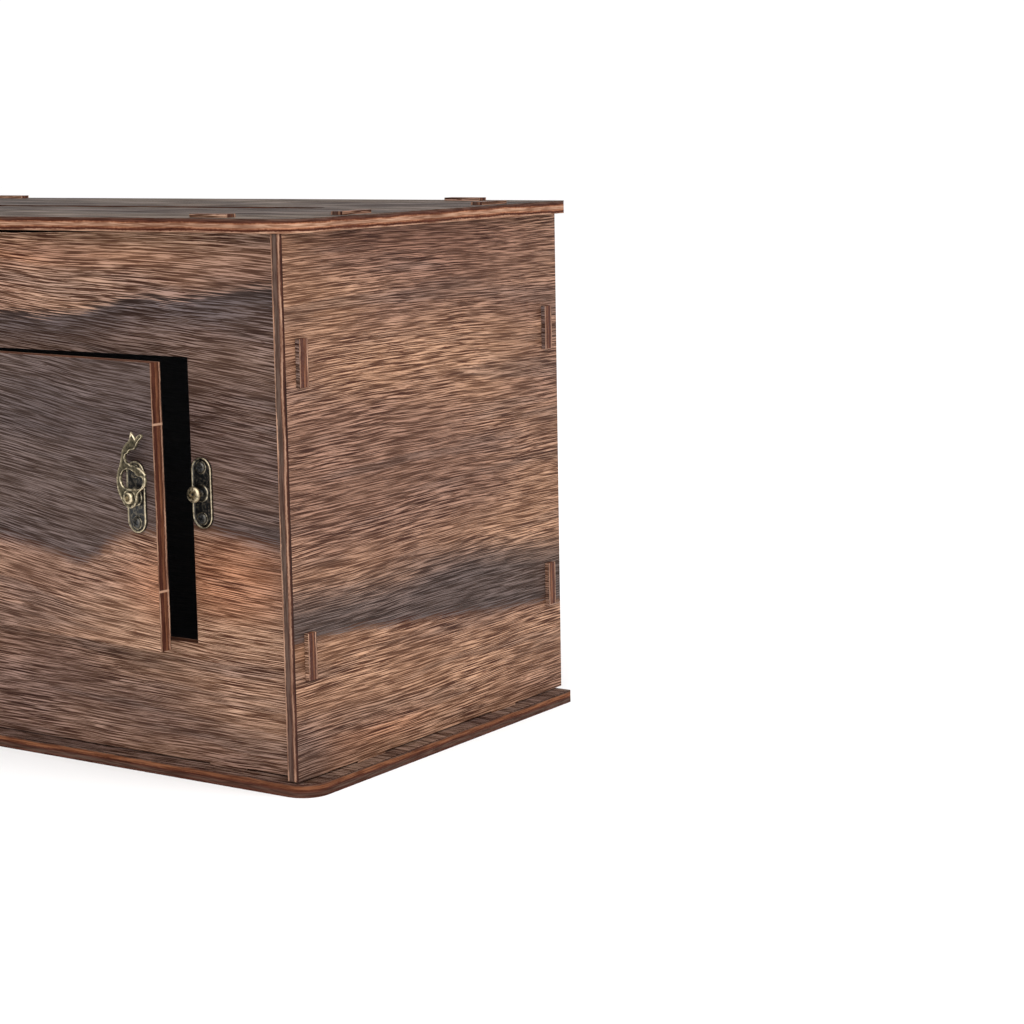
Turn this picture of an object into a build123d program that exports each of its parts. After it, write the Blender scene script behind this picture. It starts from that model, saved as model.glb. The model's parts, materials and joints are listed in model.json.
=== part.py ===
from build123d import *
import os

# Driving dimensions of the wooden box, in millimetres
ply = 5.0                       # thickness of every panel
box_width = 330.0               # between the outer faces of the two side panels
box_depth = 172.5               # front edge to back edge of a side panel
wall_height = 194.0             # from the base plate up to the top plate
front_recess = 5.6              # front panel's face behind the side panels' front edges
back_recess = 5.8               # back panel's face in front of the side panels' back edges
plate_side_overhang = 6.0       # base and top plate beyond the side panels
plate_front_overhang = 1.0      # base and top plate beyond the side panels' front edges
plate_back_inset = 2.5          # base and top plate short of the side panels' back edges
plate_corner_radius = 10.0      # rounded front corners of the base and top plates
front_sag = 1.5                 # hollow along the top edge of the front panel
front_sag_width = 190.0         # length of that hollow

# Tabs and slots that lock the panels together
tab_length = 17.0
side_tab_spacing = 87.0         # between the two tabs on a side panel's long edge
wall_tab_spacing = 255.0        # between the two tabs on a front or back panel's long edge
end_tab_spacing = 104.0         # between the two tabs on a front or back panel's end
end_tab_proud = 1.6             # end tabs beyond the side panels' outer faces
top_tab_proud = 1.2             # upper tabs above the top plate
foot_tab_inset = 0.2            # lower tabs short of the base plate's underside
saw_gap = 0.1                   # clearance all round a tab and beside a panel
foot_gap = 0.6                  # narrow gap between the walls and the base plate

# Slot for the cards, in the top plate
card_slot_length = 230.0
card_slot_width = 12.0

# Door and the opening that it is cut from
opening_width = 231.0
opening_height = 104.6
door_gap = 0.4                  # cut between the door and the panel, on every side
door_rest_angle = 4.7           # degrees that the door stands open at rest

# Two small butt hinges on the front face
hinge_height = 25.0
hinge_spacing = 64.0            # between the middles of the two hinges
leaf_width = 10.5               # from the pin's axis to the leaf's outer edge
leaf_thickness = 0.8
leaf_corner_radius = 1.5
knuckle_radius = 1.6
knuckle_gap = 0.15              # between neighbouring knuckles
knuckle_relief = 0.4            # from a knuckle to the edge of the other leaf
pin_radius = 0.8
pin_clearance = 0.05
face_clearance = 0.05           # between a knuckle and the wood behind it
hinge_screw_spacing = 15.0
hinge_screw_offset = 6.4        # from the pin's axis to a screw

# Wood screws of the hinges and of the latch
screw_head_radius = 2.0
screw_head_height = 0.7
screw_head_top_radius = 1.5
screw_shank_radius = 0.9
screw_depth = 3.8               # shank inside the wood
shank_sides = 12                # flat sides of a shank and of its hole, which stand for the thread
screw_clearance = 0.05

# Latch: a plate on the door carries the hook, a plate on the panel carries the post
latch_rise = 3.6                # latch above the middle of the door
plate_length = 26.0
plate_width = 9.3
plate_thickness = 1.0
plate_bevel = 0.35
plate_screw_spacing = 18.6
catch_inset = 5.0               # from the opening's edge to the middle of the catch plate
latch_inset = 8.9               # from the door's free edge to the middle of the latch plate
post_neck_radius = 1.4
post_neck_length = 3.6
post_head_radius = 3.0
post_head_height = 1.5
post_rim_height = 0.9            # straight part of the post's head, below its taper
post_crown_radius = 2.4
tail_radius = 0.9                # riveted tails of the post and the rivet, in their plates
rivet_radius = 1.2
rivet_clearance = 0.05
tail_clearance = 0.02
rivet_collar_radius = 2.4
rivet_collar_height = 1.9
rivet_head_radius = 1.9
rivet_head_height = 0.8
rivet_crown_radius = 1.4
hook_thickness = 1.2
hook_clearance = 0.1            # each side of the hook, between collar and rivet head
notch_clearance = 0.2           # between the hook's notch and the post's neck

# Places worked out from the sizes
half_width = box_width / 2
half_depth = box_depth / 2
wall_foot = ply + foot_gap
wall_top = ply + wall_height
wall_middle = ply + wall_height / 2
front_face = -half_depth + front_recess
back_face = half_depth - back_recess
inner_width = box_width - 2 * ply
half_tab = tab_length / 2
hinge_x = -opening_width / 2 + door_gap / 2
hinge_y = front_face - knuckle_radius - face_clearance
hinge_axis = Axis((hinge_x, hinge_y, 0), (0, 0, 1))
latch_z = wall_middle + latch_rise
catch_x = opening_width / 2 + catch_inset
latch_x = opening_width / 2 - door_gap - latch_inset
hook_reach = catch_x - latch_x
hook_back = plate_thickness + rivet_collar_height + hook_clearance
both_sides = (-1, 1)


def block(x_range, y_range, z_range):
    """A box between two values on each axis."""
    size = [high - low for low, high in (x_range, y_range, z_range)]
    middle = [(high + low) / 2 for low, high in (x_range, y_range, z_range)]
    return Pos(*middle) * Box(*size)


def around(middle, half):
    """The two ends of a span about a middle."""
    return (middle - half, middle + half)


def grown(span, gap):
    """A span made longer by a gap at both ends."""
    return (span[0] - gap, span[1] + gap)


def side_span(side):
    """X span of the side panel on one side of the box."""
    outer = side * half_width
    return tuple(sorted((outer, outer - side * ply)))


front_span = (front_face, front_face + ply)
back_span = (back_face - ply, back_face)
opening_x = around(0, opening_width / 2)
opening_z = around(wall_middle, opening_height / 2)


def wall_tab_places():
    """X and Y spans of every tab that goes through the base and top plates."""
    places = []
    for side in both_sides:
        for end in both_sides:
            places.append((side_span(side), around(end * side_tab_spacing / 2, half_tab)))
    for span in (front_span, back_span):
        for side in both_sides:
            places.append((around(side * wall_tab_spacing / 2, half_tab), span))
    return places


def end_tab_spans():
    """Z spans of the tabs at the ends of the front and back panels."""
    return [around(wall_middle + end * end_tab_spacing / 2, half_tab) for end in both_sides]


def plate(z_low):
    """Base or top plate: square back corners, rounded front corners, a slot for every tab."""
    x_span = around(0, half_width + plate_side_overhang)
    y_span = (-half_depth - plate_front_overhang, half_depth - plate_back_inset)
    solid = block(x_span, y_span, (z_low, z_low + ply))
    front_corners = solid.edges().filter_by(Axis.Z).group_by(Axis.Y)[0]
    solid = fillet(front_corners, plate_corner_radius)
    for tab_x, tab_y in wall_tab_places():
        solid -= block(grown(tab_x, saw_gap), grown(tab_y, saw_gap), (z_low - ply, z_low + 2 * ply))
    return solid


def top_plate():
    """The plate with the long card slot, rounded at both ends, across its middle."""
    slot = Pos(0, 0, wall_top - ply) * extrude(SlotOverall(card_slot_length, card_slot_width), 3 * ply)
    return plate(wall_top) - slot


def add_long_tabs(panel, tab_x, tab_y):
    """One tab down through the base plate and one up through the top plate."""
    lower = block(tab_x, tab_y, (foot_tab_inset, wall_foot))
    upper = block(tab_x, tab_y, (wall_top, wall_top + ply + top_tab_proud))
    return panel + lower + upper


def side_panel(side):
    """Side panel with four tabs on its long edges and four slots for the end tabs."""
    x_span = side_span(side)
    panel = block(x_span, around(0, half_depth), (wall_foot, wall_top))
    for end in both_sides:
        panel = add_long_tabs(panel, x_span, around(end * side_tab_spacing / 2, half_tab))
    for y_span in (front_span, back_span):
        for z_span in end_tab_spans():
            panel -= block(grown(x_span, ply), grown(y_span, saw_gap), grown(z_span, saw_gap))
    return panel


def cross_panel(y_span):
    """Front or back panel: it fits between the sides and its end tabs go through them."""
    half = inner_width / 2 - saw_gap
    panel = block(around(0, half), y_span, (wall_foot, wall_top))
    for side in both_sides:
        panel = add_long_tabs(panel, around(side * wall_tab_spacing / 2, half_tab), y_span)
        tab_x = tuple(sorted((side * half, side * (half_width + end_tab_proud))))
        for z_span in end_tab_spans():
            panel += block(tab_x, y_span, z_span)
    return panel


def front_panel():
    """Front panel with the door opening, a sagging top edge and holes for the screws."""
    panel = cross_panel(front_span)
    panel -= block(opening_x, grown(front_span, ply), opening_z)
    half_sag = front_sag_width / 2
    sag_arc = ThreePointArc((-half_sag, wall_top), (0, wall_top - front_sag), (half_sag, wall_top))
    sag_line = Line((half_sag, wall_top), (-half_sag, wall_top))
    sag = Plane.XZ * make_face([sag_arc, sag_line])
    panel -= Pos(0, front_face - ply, 0) * extrude(sag, -3 * ply)
    for x, z in catch_screw_places():
        panel -= screw_hole(x, z, screw_depth)
    for x, z in frame_screw_places():
        panel -= screw_hole(x, z, screw_depth)
    return panel


def door_panel():
    """The door, cut from the front panel with a hairline gap all round."""
    panel = block(grown(opening_x, -door_gap), front_span, grown(opening_z, -door_gap))
    for x, z in latch_screw_places():
        panel -= screw_hole(x, z, screw_depth)
    for x, z in door_screw_places():
        panel -= screw_hole(x, z, screw_depth)
    return panel


def turned(radius, y_start, length, x, z):
    """A round bar along Y, from y_start towards the back of the box."""
    return Pos(x, y_start + length / 2, z) * Rot(90, 0, 0) * Cylinder(radius, length)


def tapered(foot_radius, top_radius, foot_y, height, x, z):
    """A round head that narrows towards the front, standing on a face at foot_y."""
    return Pos(x, foot_y - height / 2, z) * Rot(90, 0, 0) * Cone(foot_radius, top_radius, height)


def shank(radius, y_start, length, x, z):
    """A many-sided bar along Y, for a screw's shank or the hole that it sits in."""
    section = Plane.XZ * RegularPolygon(radius, shank_sides)
    return Pos(x, y_start + length, z) * extrude(section, length)


def screw_hole(x, z, depth):
    """A hole from in front of the face to a depth behind it, a little wider than a shank."""
    return shank(screw_shank_radius + screw_clearance, front_face - ply, ply + depth, x, z)


def wood_screw(x, z, metal):
    """A wood screw with a tapered head, on metal of a given thickness."""
    head_back = front_face - metal
    head = tapered(screw_head_radius, screw_head_top_radius, head_back, screw_head_height, x, z)
    return head + shank(screw_shank_radius, head_back, metal + screw_depth, x, z)


def catch_screw_places():
    return [(catch_x, latch_z + end * plate_screw_spacing / 2) for end in both_sides]


def latch_screw_places():
    return [(latch_x, latch_z + end * plate_screw_spacing / 2) for end in both_sides]


def hinge_middles():
    return [wall_middle + end * hinge_spacing / 2 for end in both_sides]


def leaf_screw_places(side):
    """Screw places of both hinges, on the frame's side or on the door's side of the pin."""
    x = hinge_x + side * hinge_screw_offset
    return [(x, z + end * hinge_screw_spacing / 2) for z in hinge_middles() for end in both_sides]


def frame_screw_places():
    return leaf_screw_places(-1)


def door_screw_places():
    return leaf_screw_places(1)


def knuckle(z_span):
    """One knuckle of a hinge, bored for the pin."""
    low, high = z_span
    ring = Cylinder(knuckle_radius, high - low) - Cylinder(pin_radius + pin_clearance, 2 * (high - low))
    return Pos(hinge_x, hinge_y, (low + high) / 2) * ring


def knuckle_spans(middle):
    """Z spans of the lower, centre and upper knuckles."""
    third = hinge_height / 3
    lower = (middle - hinge_height / 2, middle - third / 2 - knuckle_gap / 2)
    centre = around(middle, third / 2 - knuckle_gap / 2)
    upper = (middle + third / 2 + knuckle_gap / 2, middle + hinge_height / 2)
    return lower, centre, upper


def hinge_leaf(middle, side, spans):
    """A leaf on the front face, rolled round the pin at the given knuckles."""
    inner = hinge_x + side * (knuckle_radius + knuckle_relief)
    outer = hinge_x + side * leaf_width
    y_span = (front_face - leaf_thickness, front_face)
    leaf = block(tuple(sorted((inner, outer))), y_span, around(middle, hinge_height / 2))
    outer_edges = leaf.edges().filter_by(Axis.Y).sort_by(Axis.X)
    outer_edges = outer_edges[-2:] if side > 0 else outer_edges[:2]
    leaf = fillet(outer_edges, leaf_corner_radius)
    places = frame_screw_places() if side < 0 else door_screw_places()
    for x, z in places:
        leaf -= screw_hole(x, z, ply)
    bore = pin_radius + pin_clearance
    pin_space = Pos(hinge_x, hinge_y, middle) * Cylinder(bore, 2 * hinge_height)
    for span in spans:
        web_x = tuple(sorted((hinge_x, inner + side * knuckle_relief)))
        web = block(web_x, (front_face - leaf_thickness, front_face - face_clearance), span)
        leaf = leaf + (web - pin_space) + knuckle(span)
    return leaf


def hinge_pin(middle):
    """Plain pin through all three knuckles, flush with their ends."""
    return Pos(hinge_x, hinge_y, middle) * Cylinder(pin_radius, hinge_height)


def oval_plate(x):
    """Round-ended plate with a bevelled front rim, two screw holes and a centre hole for a tail."""
    outline = Plane.XZ * Rot(0, 0, 90) * SlotOverall(plate_length, plate_width)
    solid = Pos(x, front_face, latch_z) * extrude(outline, plate_thickness)
    solid = chamfer(solid.faces().sort_by(Axis.Y)[0].edges(), plate_bevel)
    for end in both_sides:
        z = latch_z + end * plate_screw_spacing / 2
        solid -= screw_hole(x, z, ply)
    return solid - turned(tail_radius + tail_clearance, front_face - ply, 2 * ply, x, latch_z)


def catch_post():
    """Post that the hook drops over: thin neck, tapered head, and a tail riveted in the plate."""
    plate_front = front_face - plate_thickness
    head_back = plate_front - post_neck_length
    rim_y = head_back - post_rim_height
    crown_height = post_head_height - post_rim_height
    rim = turned(post_head_radius, rim_y, post_rim_height, catch_x, latch_z)
    crown = tapered(post_head_radius, post_crown_radius, rim_y, crown_height, catch_x, latch_z)
    neck = turned(post_neck_radius, head_back, post_neck_length, catch_x, latch_z)
    tail = turned(tail_radius, plate_front, plate_thickness, catch_x, latch_z)
    return rim + crown + neck + tail


def latch_rivet():
    """Rivet that carries the hook: tail in the plate, collar on it, shaft through the hook, head."""
    plate_front = front_face - plate_thickness
    shaft_length = rivet_collar_height + hook_thickness + 2 * hook_clearance
    head_back = plate_front - shaft_length
    collar_y = plate_front - rivet_collar_height
    collar = turned(rivet_collar_radius, collar_y, rivet_collar_height, latch_x, latch_z)
    shaft = turned(rivet_radius, head_back, shaft_length, latch_x, latch_z)
    head = tapered(rivet_head_radius, rivet_crown_radius, head_back, rivet_head_height, latch_x, latch_z)
    tail = turned(tail_radius, plate_front, plate_thickness, latch_x, latch_z)
    return collar + shaft + head + tail


def arc_chain(points):
    """Arcs end to end: each takes its start, a point on the way and its end from the list."""
    starts = range(0, len(points) - 2, 2)
    return [ThreePointArc(points[i], points[i + 1], points[i + 2]) for i in starts]


def raised(points):
    """Points measured from the notch, which stands above the pivot by the hook's reach."""
    return [(x, hook_reach + z) for x, z in points]


def hook_outline():
    """The hook standing up from its pivot: boss, open ring with a spur, notch and forked horn."""
    notch = post_neck_radius + notch_clearance
    boss_points = [(6.3, 3.4), (5.2, 2.5), (4.1, 1.3), (3.8, -0.5), (0.1, -3.8), (-3.4, -1.7), (-5.7, 1.9)]
    ring_right = [(0.0, -notch), (0.45, -notch - 0.1), (0.9, -notch), (0.75, -notch - 0.4), (1.3, -2.25),
                  (5.1, -2.9), (8.7, -5.3), (8.4, -6.0), (8.6, -6.8), (8.6, -8.5), (7.7, -10.0)]
    horn_points = [(-6.3, -8.6), (-5.9, -5.6), (-4.6, -2.9), (-3.8, -0.6), (-3.4, 1.2), (-2.2, 4.0),
                   (0.4, 6.2), (1.3, 7.8), (1.6, 9.6), (3.0, 8.6), (4.1, 7.1), (5.1, 8.4), (6.8, 9.1),
                   (7.4, 8.7), (7.7, 8.0), (5.8, 6.4), (4.6, 5.0), (3.8, 3.7), (2.2, 3.0), (0.7, 2.6),
                   (0.0, notch), (-notch, 0.0), (0.0, -notch)]
    eye_points = [(-4.2, -8.1), (-3.0, -5.2), (-0.6, -4.0), (1.4, -4.3), (3.0, -5.1), (4.8, -6.2),
                  (6.5, -6.4), (7.2, -7.3), (7.0, -8.9), (6.1, -9.9), (4.9, -10.5), (2.1, -10.8),
                  (-0.8, -10.7), (-3.2, -10.0), (-4.2, -8.1)]
    outer = raised(ring_right) + boss_points + raised(horn_points)
    return make_face(arc_chain(outer)) - make_face(arc_chain(raised(eye_points)))


def latch_hook():
    """The flat hook, bored for the rivet."""
    outline = Plane.XZ * hook_outline()
    solid = Pos(latch_x, front_face - hook_back, latch_z) * extrude(outline, hook_thickness)
    return solid - turned(rivet_radius + rivet_clearance, front_face - 2 * ply, 2 * ply, latch_x, latch_z)


def ajar(shape):
    """A piece of the closed door, swung out to the angle at which the door rests."""
    return shape.rotate(hinge_axis, -door_rest_angle)


def group(shapes):
    """Several separate solids as one compound."""
    return Compound(children=list(shapes))


def screws(places, metal):
    return [wood_screw(x, z, metal) for x, z in places]


def build_nodes():
    """Every piece of the box by its node name, at its rest place."""
    nodes = {
        "base_plate": plate(0.0),
        "top_plate": top_plate(),
        "left_side_panel": side_panel(-1),
        "right_side_panel": side_panel(1),
        "front_panel": front_panel(),
        "back_panel": cross_panel(back_span),
        "door_panel": ajar(door_panel()),
        "catch_plate": oval_plate(catch_x),
        "catch_post": catch_post(),
        "catch_plate_screws": group(screws(catch_screw_places(), plate_thickness)),
        "latch_plate": ajar(oval_plate(latch_x)),
        "latch_plate_screws": group(ajar(s) for s in screws(latch_screw_places(), plate_thickness)),
        "latch_rivet": ajar(latch_rivet()),
        "latch_hook": ajar(latch_hook()),
        "hinge_frame_screws": group(screws(frame_screw_places(), leaf_thickness)),
        "hinge_door_screws": group(ajar(s) for s in screws(door_screw_places(), leaf_thickness)),
    }
    for name, middle in zip(("lower", "upper"), hinge_middles()):
        lower, centre, upper = knuckle_spans(middle)
        nodes[name + "_hinge_frame_leaf"] = hinge_leaf(middle, -1, (lower, upper))
        nodes[name + "_hinge_door_leaf"] = ajar(hinge_leaf(middle, 1, (centre,)))
        nodes[name + "_hinge_pin"] = hinge_pin(middle)
    return nodes


os.makedirs("parts", exist_ok=True)
for node, shape in build_nodes().items():
    export_step(shape, "parts/" + node + ".step")
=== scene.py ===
import json
import math

import bmesh
import bpy
import numpy as np
from bpy.props import FloatProperty, FloatVectorProperty, PointerProperty
from mathutils import Matrix, Vector


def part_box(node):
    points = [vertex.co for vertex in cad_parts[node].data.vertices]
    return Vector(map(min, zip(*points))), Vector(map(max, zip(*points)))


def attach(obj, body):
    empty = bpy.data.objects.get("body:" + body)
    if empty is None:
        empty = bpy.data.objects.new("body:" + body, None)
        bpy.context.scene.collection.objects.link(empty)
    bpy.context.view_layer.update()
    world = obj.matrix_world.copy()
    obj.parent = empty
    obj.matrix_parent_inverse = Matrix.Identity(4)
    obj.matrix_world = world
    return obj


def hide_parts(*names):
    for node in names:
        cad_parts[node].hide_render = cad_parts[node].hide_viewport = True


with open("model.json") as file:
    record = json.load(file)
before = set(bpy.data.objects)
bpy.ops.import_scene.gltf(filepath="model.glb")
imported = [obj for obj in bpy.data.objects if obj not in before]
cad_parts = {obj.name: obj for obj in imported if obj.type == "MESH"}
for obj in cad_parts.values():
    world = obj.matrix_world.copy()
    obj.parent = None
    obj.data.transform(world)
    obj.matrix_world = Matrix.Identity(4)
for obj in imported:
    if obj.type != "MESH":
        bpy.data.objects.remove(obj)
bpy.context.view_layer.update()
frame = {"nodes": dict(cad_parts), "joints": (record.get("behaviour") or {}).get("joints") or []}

bl_info = {
    "name": "Wooden card box",
    "version": (1, 0, 0),
    "blender": (4, 5, 0),
    "location": "3D View > Sidebar > Card box",
    "description": "Stained plywood, antique bronze fittings and a pale studio for the card box",
    "category": "Object",
}

MM = 0.001
GOLDEN_ANGLE = math.pi * (3 - math.sqrt(5))     # turn from one screw's cross to the next
FIRST_CROSS = 0.5               # turn of the first cross, in radians
SHARP_ANGLE = math.radians(40)  # edges sharper than this aren't shaded smooth
MERGE_DISTANCE = 0.002 * MM
HOOK_GRID = 0.14                # side of a cell of the hook's grid, in millimetres
BAND_SCALE = 0.210              # full height of a band curve's unit square

# Places read from the frame
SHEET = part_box("base_plate")[1].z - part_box("base_plate")[0].z
FRONT_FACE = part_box("front_panel")[0].y
DOOR_JOINT = next(j for j in frame["joints"] if j["name"] == "door_hinge")
HINGE = Vector(DOOR_JOINT["pos_m"])
REST_ANGLE = math.radians(-DOOR_JOINT["range_deg"][0])

# Box coordinates (x right, y back, z up) turned into sheet coordinates:
# along the grain, across it, and outwards through the thickness
FRONT_SHEET = Matrix(((1, 0, 0), (0, 0, 1), (0, -1, 0))).to_4x4()
BACK_SHEET = Matrix(((-1, 0, 0), (0, 0, 1), (0, 1, 0))).to_4x4()
RIGHT_SHEET = Matrix(((0, 1, 0), (0, 0, 1), (1, 0, 0))).to_4x4()
LEFT_SHEET = Matrix(((0, -1, 0), (0, 0, 1), (-1, 0, 0))).to_4x4()
TOP_SHEET = Matrix.Identity(4)
BASE_SHEET = Matrix(((1, 0, 0), (0, -1, 0), (0, 0, -1))).to_4x4()

# Dark bands of painted reflection: the dark surroundings mirrored in the glossy veneer, painted into
# its colour. Edges as (along, up) in millimetres, softness and fade of the upper and lower edge,
# strength in the middle and of the whole, and how far the band calms the grain, as a grey sheen does
FRONT_REFLECTION_BAND = {
    "upper": [(-165, 172), (-120, 176), (-70, 171), (-20, 167), (23, 168.5), (54, 169), (74, 171.8),
              (92, 175.5), (113, 175.7), (136.5, 178.4), (165, 181)],
    "lower": [(-165, 96), (-120, 92), (-60, 84), (-10, 86), (28, 85), (44, 84), (61, 81.6), (74, 79.8),
              (83, 82.6), (90, 88), (109, 93.4), (137, 90.8), (165, 88)],
    "softness": (3.0, 6.0), "fade": (34, 22), "middle": 0.66, "strength": 0.90, "calm": 0.10,
}
# On the door the painted reflection is stronger in the middle and calms the grain more, for its grey sheen
DOOR_REFLECTION_BAND = {**FRONT_REFLECTION_BAND, "middle": 0.92, "calm": 0.25}
SIDE_REFLECTION_BAND = {
    "upper": [(-87, 72), (-57, 70), (-23, 68), (2.5, 71.6), (57, 68.8), (87, 64.7)],
    "lower": [(-87, 55.8), (-57, 55.5), (-24, 52.8), (8, 50), (57, 45.4), (87, 42.5)],
    "softness": (18, 2.6), "fade": (16, 14), "middle": 0.85, "strength": 1.0, "calm": 0.15,
}

# Soft patches of the stain: centre and radii in millimetres, colour, strength
FRONT_PATCHES = (
    ((128, 72), (46, 24), "orange", 0.95), ((52, 66), (70, 22), "brown", 0.45),
    ((40, 190), (90, 9), "orange", 0.70), ((60, 22), (130, 24), "dark", 0.30),
    ((150, 30), (46, 26), "tan", 0.60), ((-90, 60), (60, 26), "orange", 0.50),
)
SIDE_PATCHES = (
    ((-10, 192), (120, 26), "brown", 0.90), ((-10, 198), (140, 26), "core", 0.35),
    ((-30, 150), (62, 17), "tan", 0.95), ((0, 95), (110, 26), "brown", 0.60),
    ((10, 26), (100, 22), "tan", 0.95),
    ((-30, 15), (40, 8), "orange", 0.40), ((-84, 12), (22, 24), "dark", 0.45),
)

# Plies on a cut edge, from the inner face at 0 to the outer face at 1
DOOR_PLIES = ((0.0, "char"), (0.05, "ply"), (0.13, "ply"), (0.19, "core"), (0.46, "orange"),
              (0.56, "core"), (0.84, "core"), (0.89, "ply"), (0.96, "ply"), (1.0, "umber"))
WALL_PLIES = ((0.0, "ply"), (0.07, "ply"), (0.13, "umber"), (0.50, "umber"), (0.54, "core"),
              (0.66, "ply"), (0.74, "ply"), (0.80, "core"), (1.0, "char"))
PLATE_PLIES = ((0.0, "ply"), (0.09, "ply"), (0.14, "core"), (0.24, "core"), (0.32, "rust"),
               (0.42, "ply"), (0.60, "ply"), (0.66, "rust"), (0.74, "core"), (1.0, "umber"))
BASE_PLIES = ((0.0, "char"), (0.08, "umber"), (0.16, "orange"), (0.36, "orange"), (0.46, "core"),
              (0.70, "umber"), (1.0, "core"))

# Looks of the panels, as wood_material tells
PLAIN_LOOK = {"stretch": (1.0, 1.0), "bands": (), "patches": (), "contrast": 1.0, "tint_and_sheen": (1.0, 1.0, 1.0),
              "inside": 0.92, "nibs": (), "shine": 0.16}
FRONT_LOOK = {**PLAIN_LOOK, "seed": 1.0, "tilt": (0.12, 0.0), "bands": (FRONT_REFLECTION_BAND,),
              "patches": FRONT_PATCHES, "plies": DOOR_PLIES}
DOOR_LOOK = {**FRONT_LOOK, "bands": (DOOR_REFLECTION_BAND,), "nibs": (71.8, 131.9), "inside": 0.55}
BACK_LOOK = {**FRONT_LOOK, "seed": 7.0, "tilt": (-0.06, 0.02)}
RIGHT_LOOK = {**PLAIN_LOOK, "seed": 3.0, "tilt": (0.0, 0.0), "bands": (SIDE_REFLECTION_BAND,),
              "patches": SIDE_PATCHES, "plies": WALL_PLIES, "tint_and_sheen": (0.94, 0.88, 0.81)}
LEFT_LOOK = {**RIGHT_LOOK, "seed": 5.0, "tilt": (-0.04, 0.0)}
# The top plate's grey blue tint is partly its darker real colour and partly painted reflection: the grey
# sheen of its glossy top, painted into its colour
TOP_LOOK = {**PLAIN_LOOK, "seed": 9.0, "tilt": (0.02, 0.02), "plies": PLATE_PLIES,
            "tint_and_sheen": (0.36, 0.44, 0.49), "shine": 0.05, "contrast": 1.5, "stretch": (2.5, 5.0)}
BASE_LOOK = {**TOP_LOOK, "seed": 11.0, "plies": BASE_PLIES, "tint_and_sheen": (0.60, 0.64, 0.70),
             "stretch": (1.0, 1.5)}

# Cells to a metre of the slow noises in the grain, along it and across it
SLOW_WAVE_CELLS = (7.0, 14.0)
QUICK_WAVE_CELLS = (26.0, 40.0)
FADE_CELLS = (26.0, 70.0)
CLOUD_CELLS = (7.0, 22.0)
WISP_CELLS = (10.0, 120.0)
LAYER_CELLS = 300.0             # through the sheet
STREAK_CELLS = (110.0, 2300.0)  # on a cut edge: along the sheet and through it

# Parts of the grain's lines
QUICK_WAVE_SHARE = 0.22         # height of the quick wave against the slow one
BROAD_SHARE = (0.35, 0.30)      # cells of the broader noise against those of the lines
BROAD_WEIGHT = 0.08
RIPPLE_TURN = 1.5               # turn of the sine over one line spacing, in radians
RIPPLE_SHIFT = 7.0              # turn that the broader noise adds, in radians
RIPPLE_WEIGHT = 0.045
PORE_SHARE = 2.5                # cells of the pores along the grain against those of the lines

# Noise values at which a mask starts and at which it is full
RIDGE_RANGE = (0.51, 0.60)
GROOVE_RANGE = (0.49, 0.40)
PORE_RANGE = (0.37, 0.29)
FADE_RANGE = (0.36, 0.62)
WISP_RANGE = (0.50, 0.34)
CLOUD_RANGE = (0.35, 0.65)
STREAK_RANGE = (0.34, 0.66)
BURN_RANGE = (0.40, 0.66)
LINE_RANGE = (0.34, 0.64)       # of the lines' height, for the relief
FADE_TO = (0.70, 1.0)           # strength of the grain where it is faded and where it isn't

# Cut edges of the plywood
WOBBLE_CELLS = (45.0, 900.0)    # slow and quick noise that shift the plies
WOBBLE_HEIGHT = (1.6 * MM, 0.6 * MM)
BURN_CELLS = 28.0
FACE_SKIN = 0.02 * MM           # depth to which the veneer's surface counts as a face
STREAK_RELIEF = -0.5            # height of a streak against a ridge of the grain

# Mixing of the wood
TILT_MIDDLE = 115 * MM          # height at which the grain is tilted most
TILT_SPAN = (15 * MM, 105 * MM)
BAND_RAGGED = 12 * MM           # how far the lines carry a band's edge
PATCH_RAGGED = 0.9              # how far the clouds carry a patch's edge, in radii
PATCH_RANGE = (1.0, 0.15)       # radii at which a patch starts and is full
WISP_STRENGTH = 0.30
BURN_STRENGTH = 0.40
STREAK_GAIN = (0.45, 0.36, 0.32)
NIB_BLUR = (0.55 * MM, 0.25 * MM)
WOOD_ROUGHNESS = (0.72, 0.50)   # in the grooves and on the ridges
WOOD_BUMP = 0.7

# Patina of the metal
WORN_BLOTCH = 1.4               # height of the blotches, which is added to the wear
HOLLOW_BLOTCH = 0.5
WORN_RANGE = (0.25, 0.80)
HOLLOW_RANGE = (-0.10, -0.40)
MOTTLE_RANGE = (0.3, 0.7)
FINE_SHARE = 4.0                # cells of the fine noise against those of the blotches
# The bright blotches in a hollow are partly mottled patina and partly painted glints of the metal
HOLLOW_RUB_AND_GLINT = 0.30               # share of the bright metal in the blotches of a hollow
METAL_SPREAD = (-0.1, 0.12)     # of the roughness, over the blotches
METAL_BUMP = 0.3
METAL_RELIEF = 0.06 * MM

# Lights, in metres
KEY_PLACE = (0.9, -1.5, 1.5)
SIDE_PLACE = (2.0, 0.2, 1.1)
SIDE_LIGHT_SHARE = 0.5          # power against the key light's
LIGHT_SIZE = 1.6
LIGHT_AIM = Vector((0, 0, 0.1))
FLOOR_SIDES = 96
CARD_COLUMNS = 32
CARD_FOOT = 2 * MM              # gap under the black card
SENSOR_WIDTH = 36.0             # of the camera, in millimetres

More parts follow.
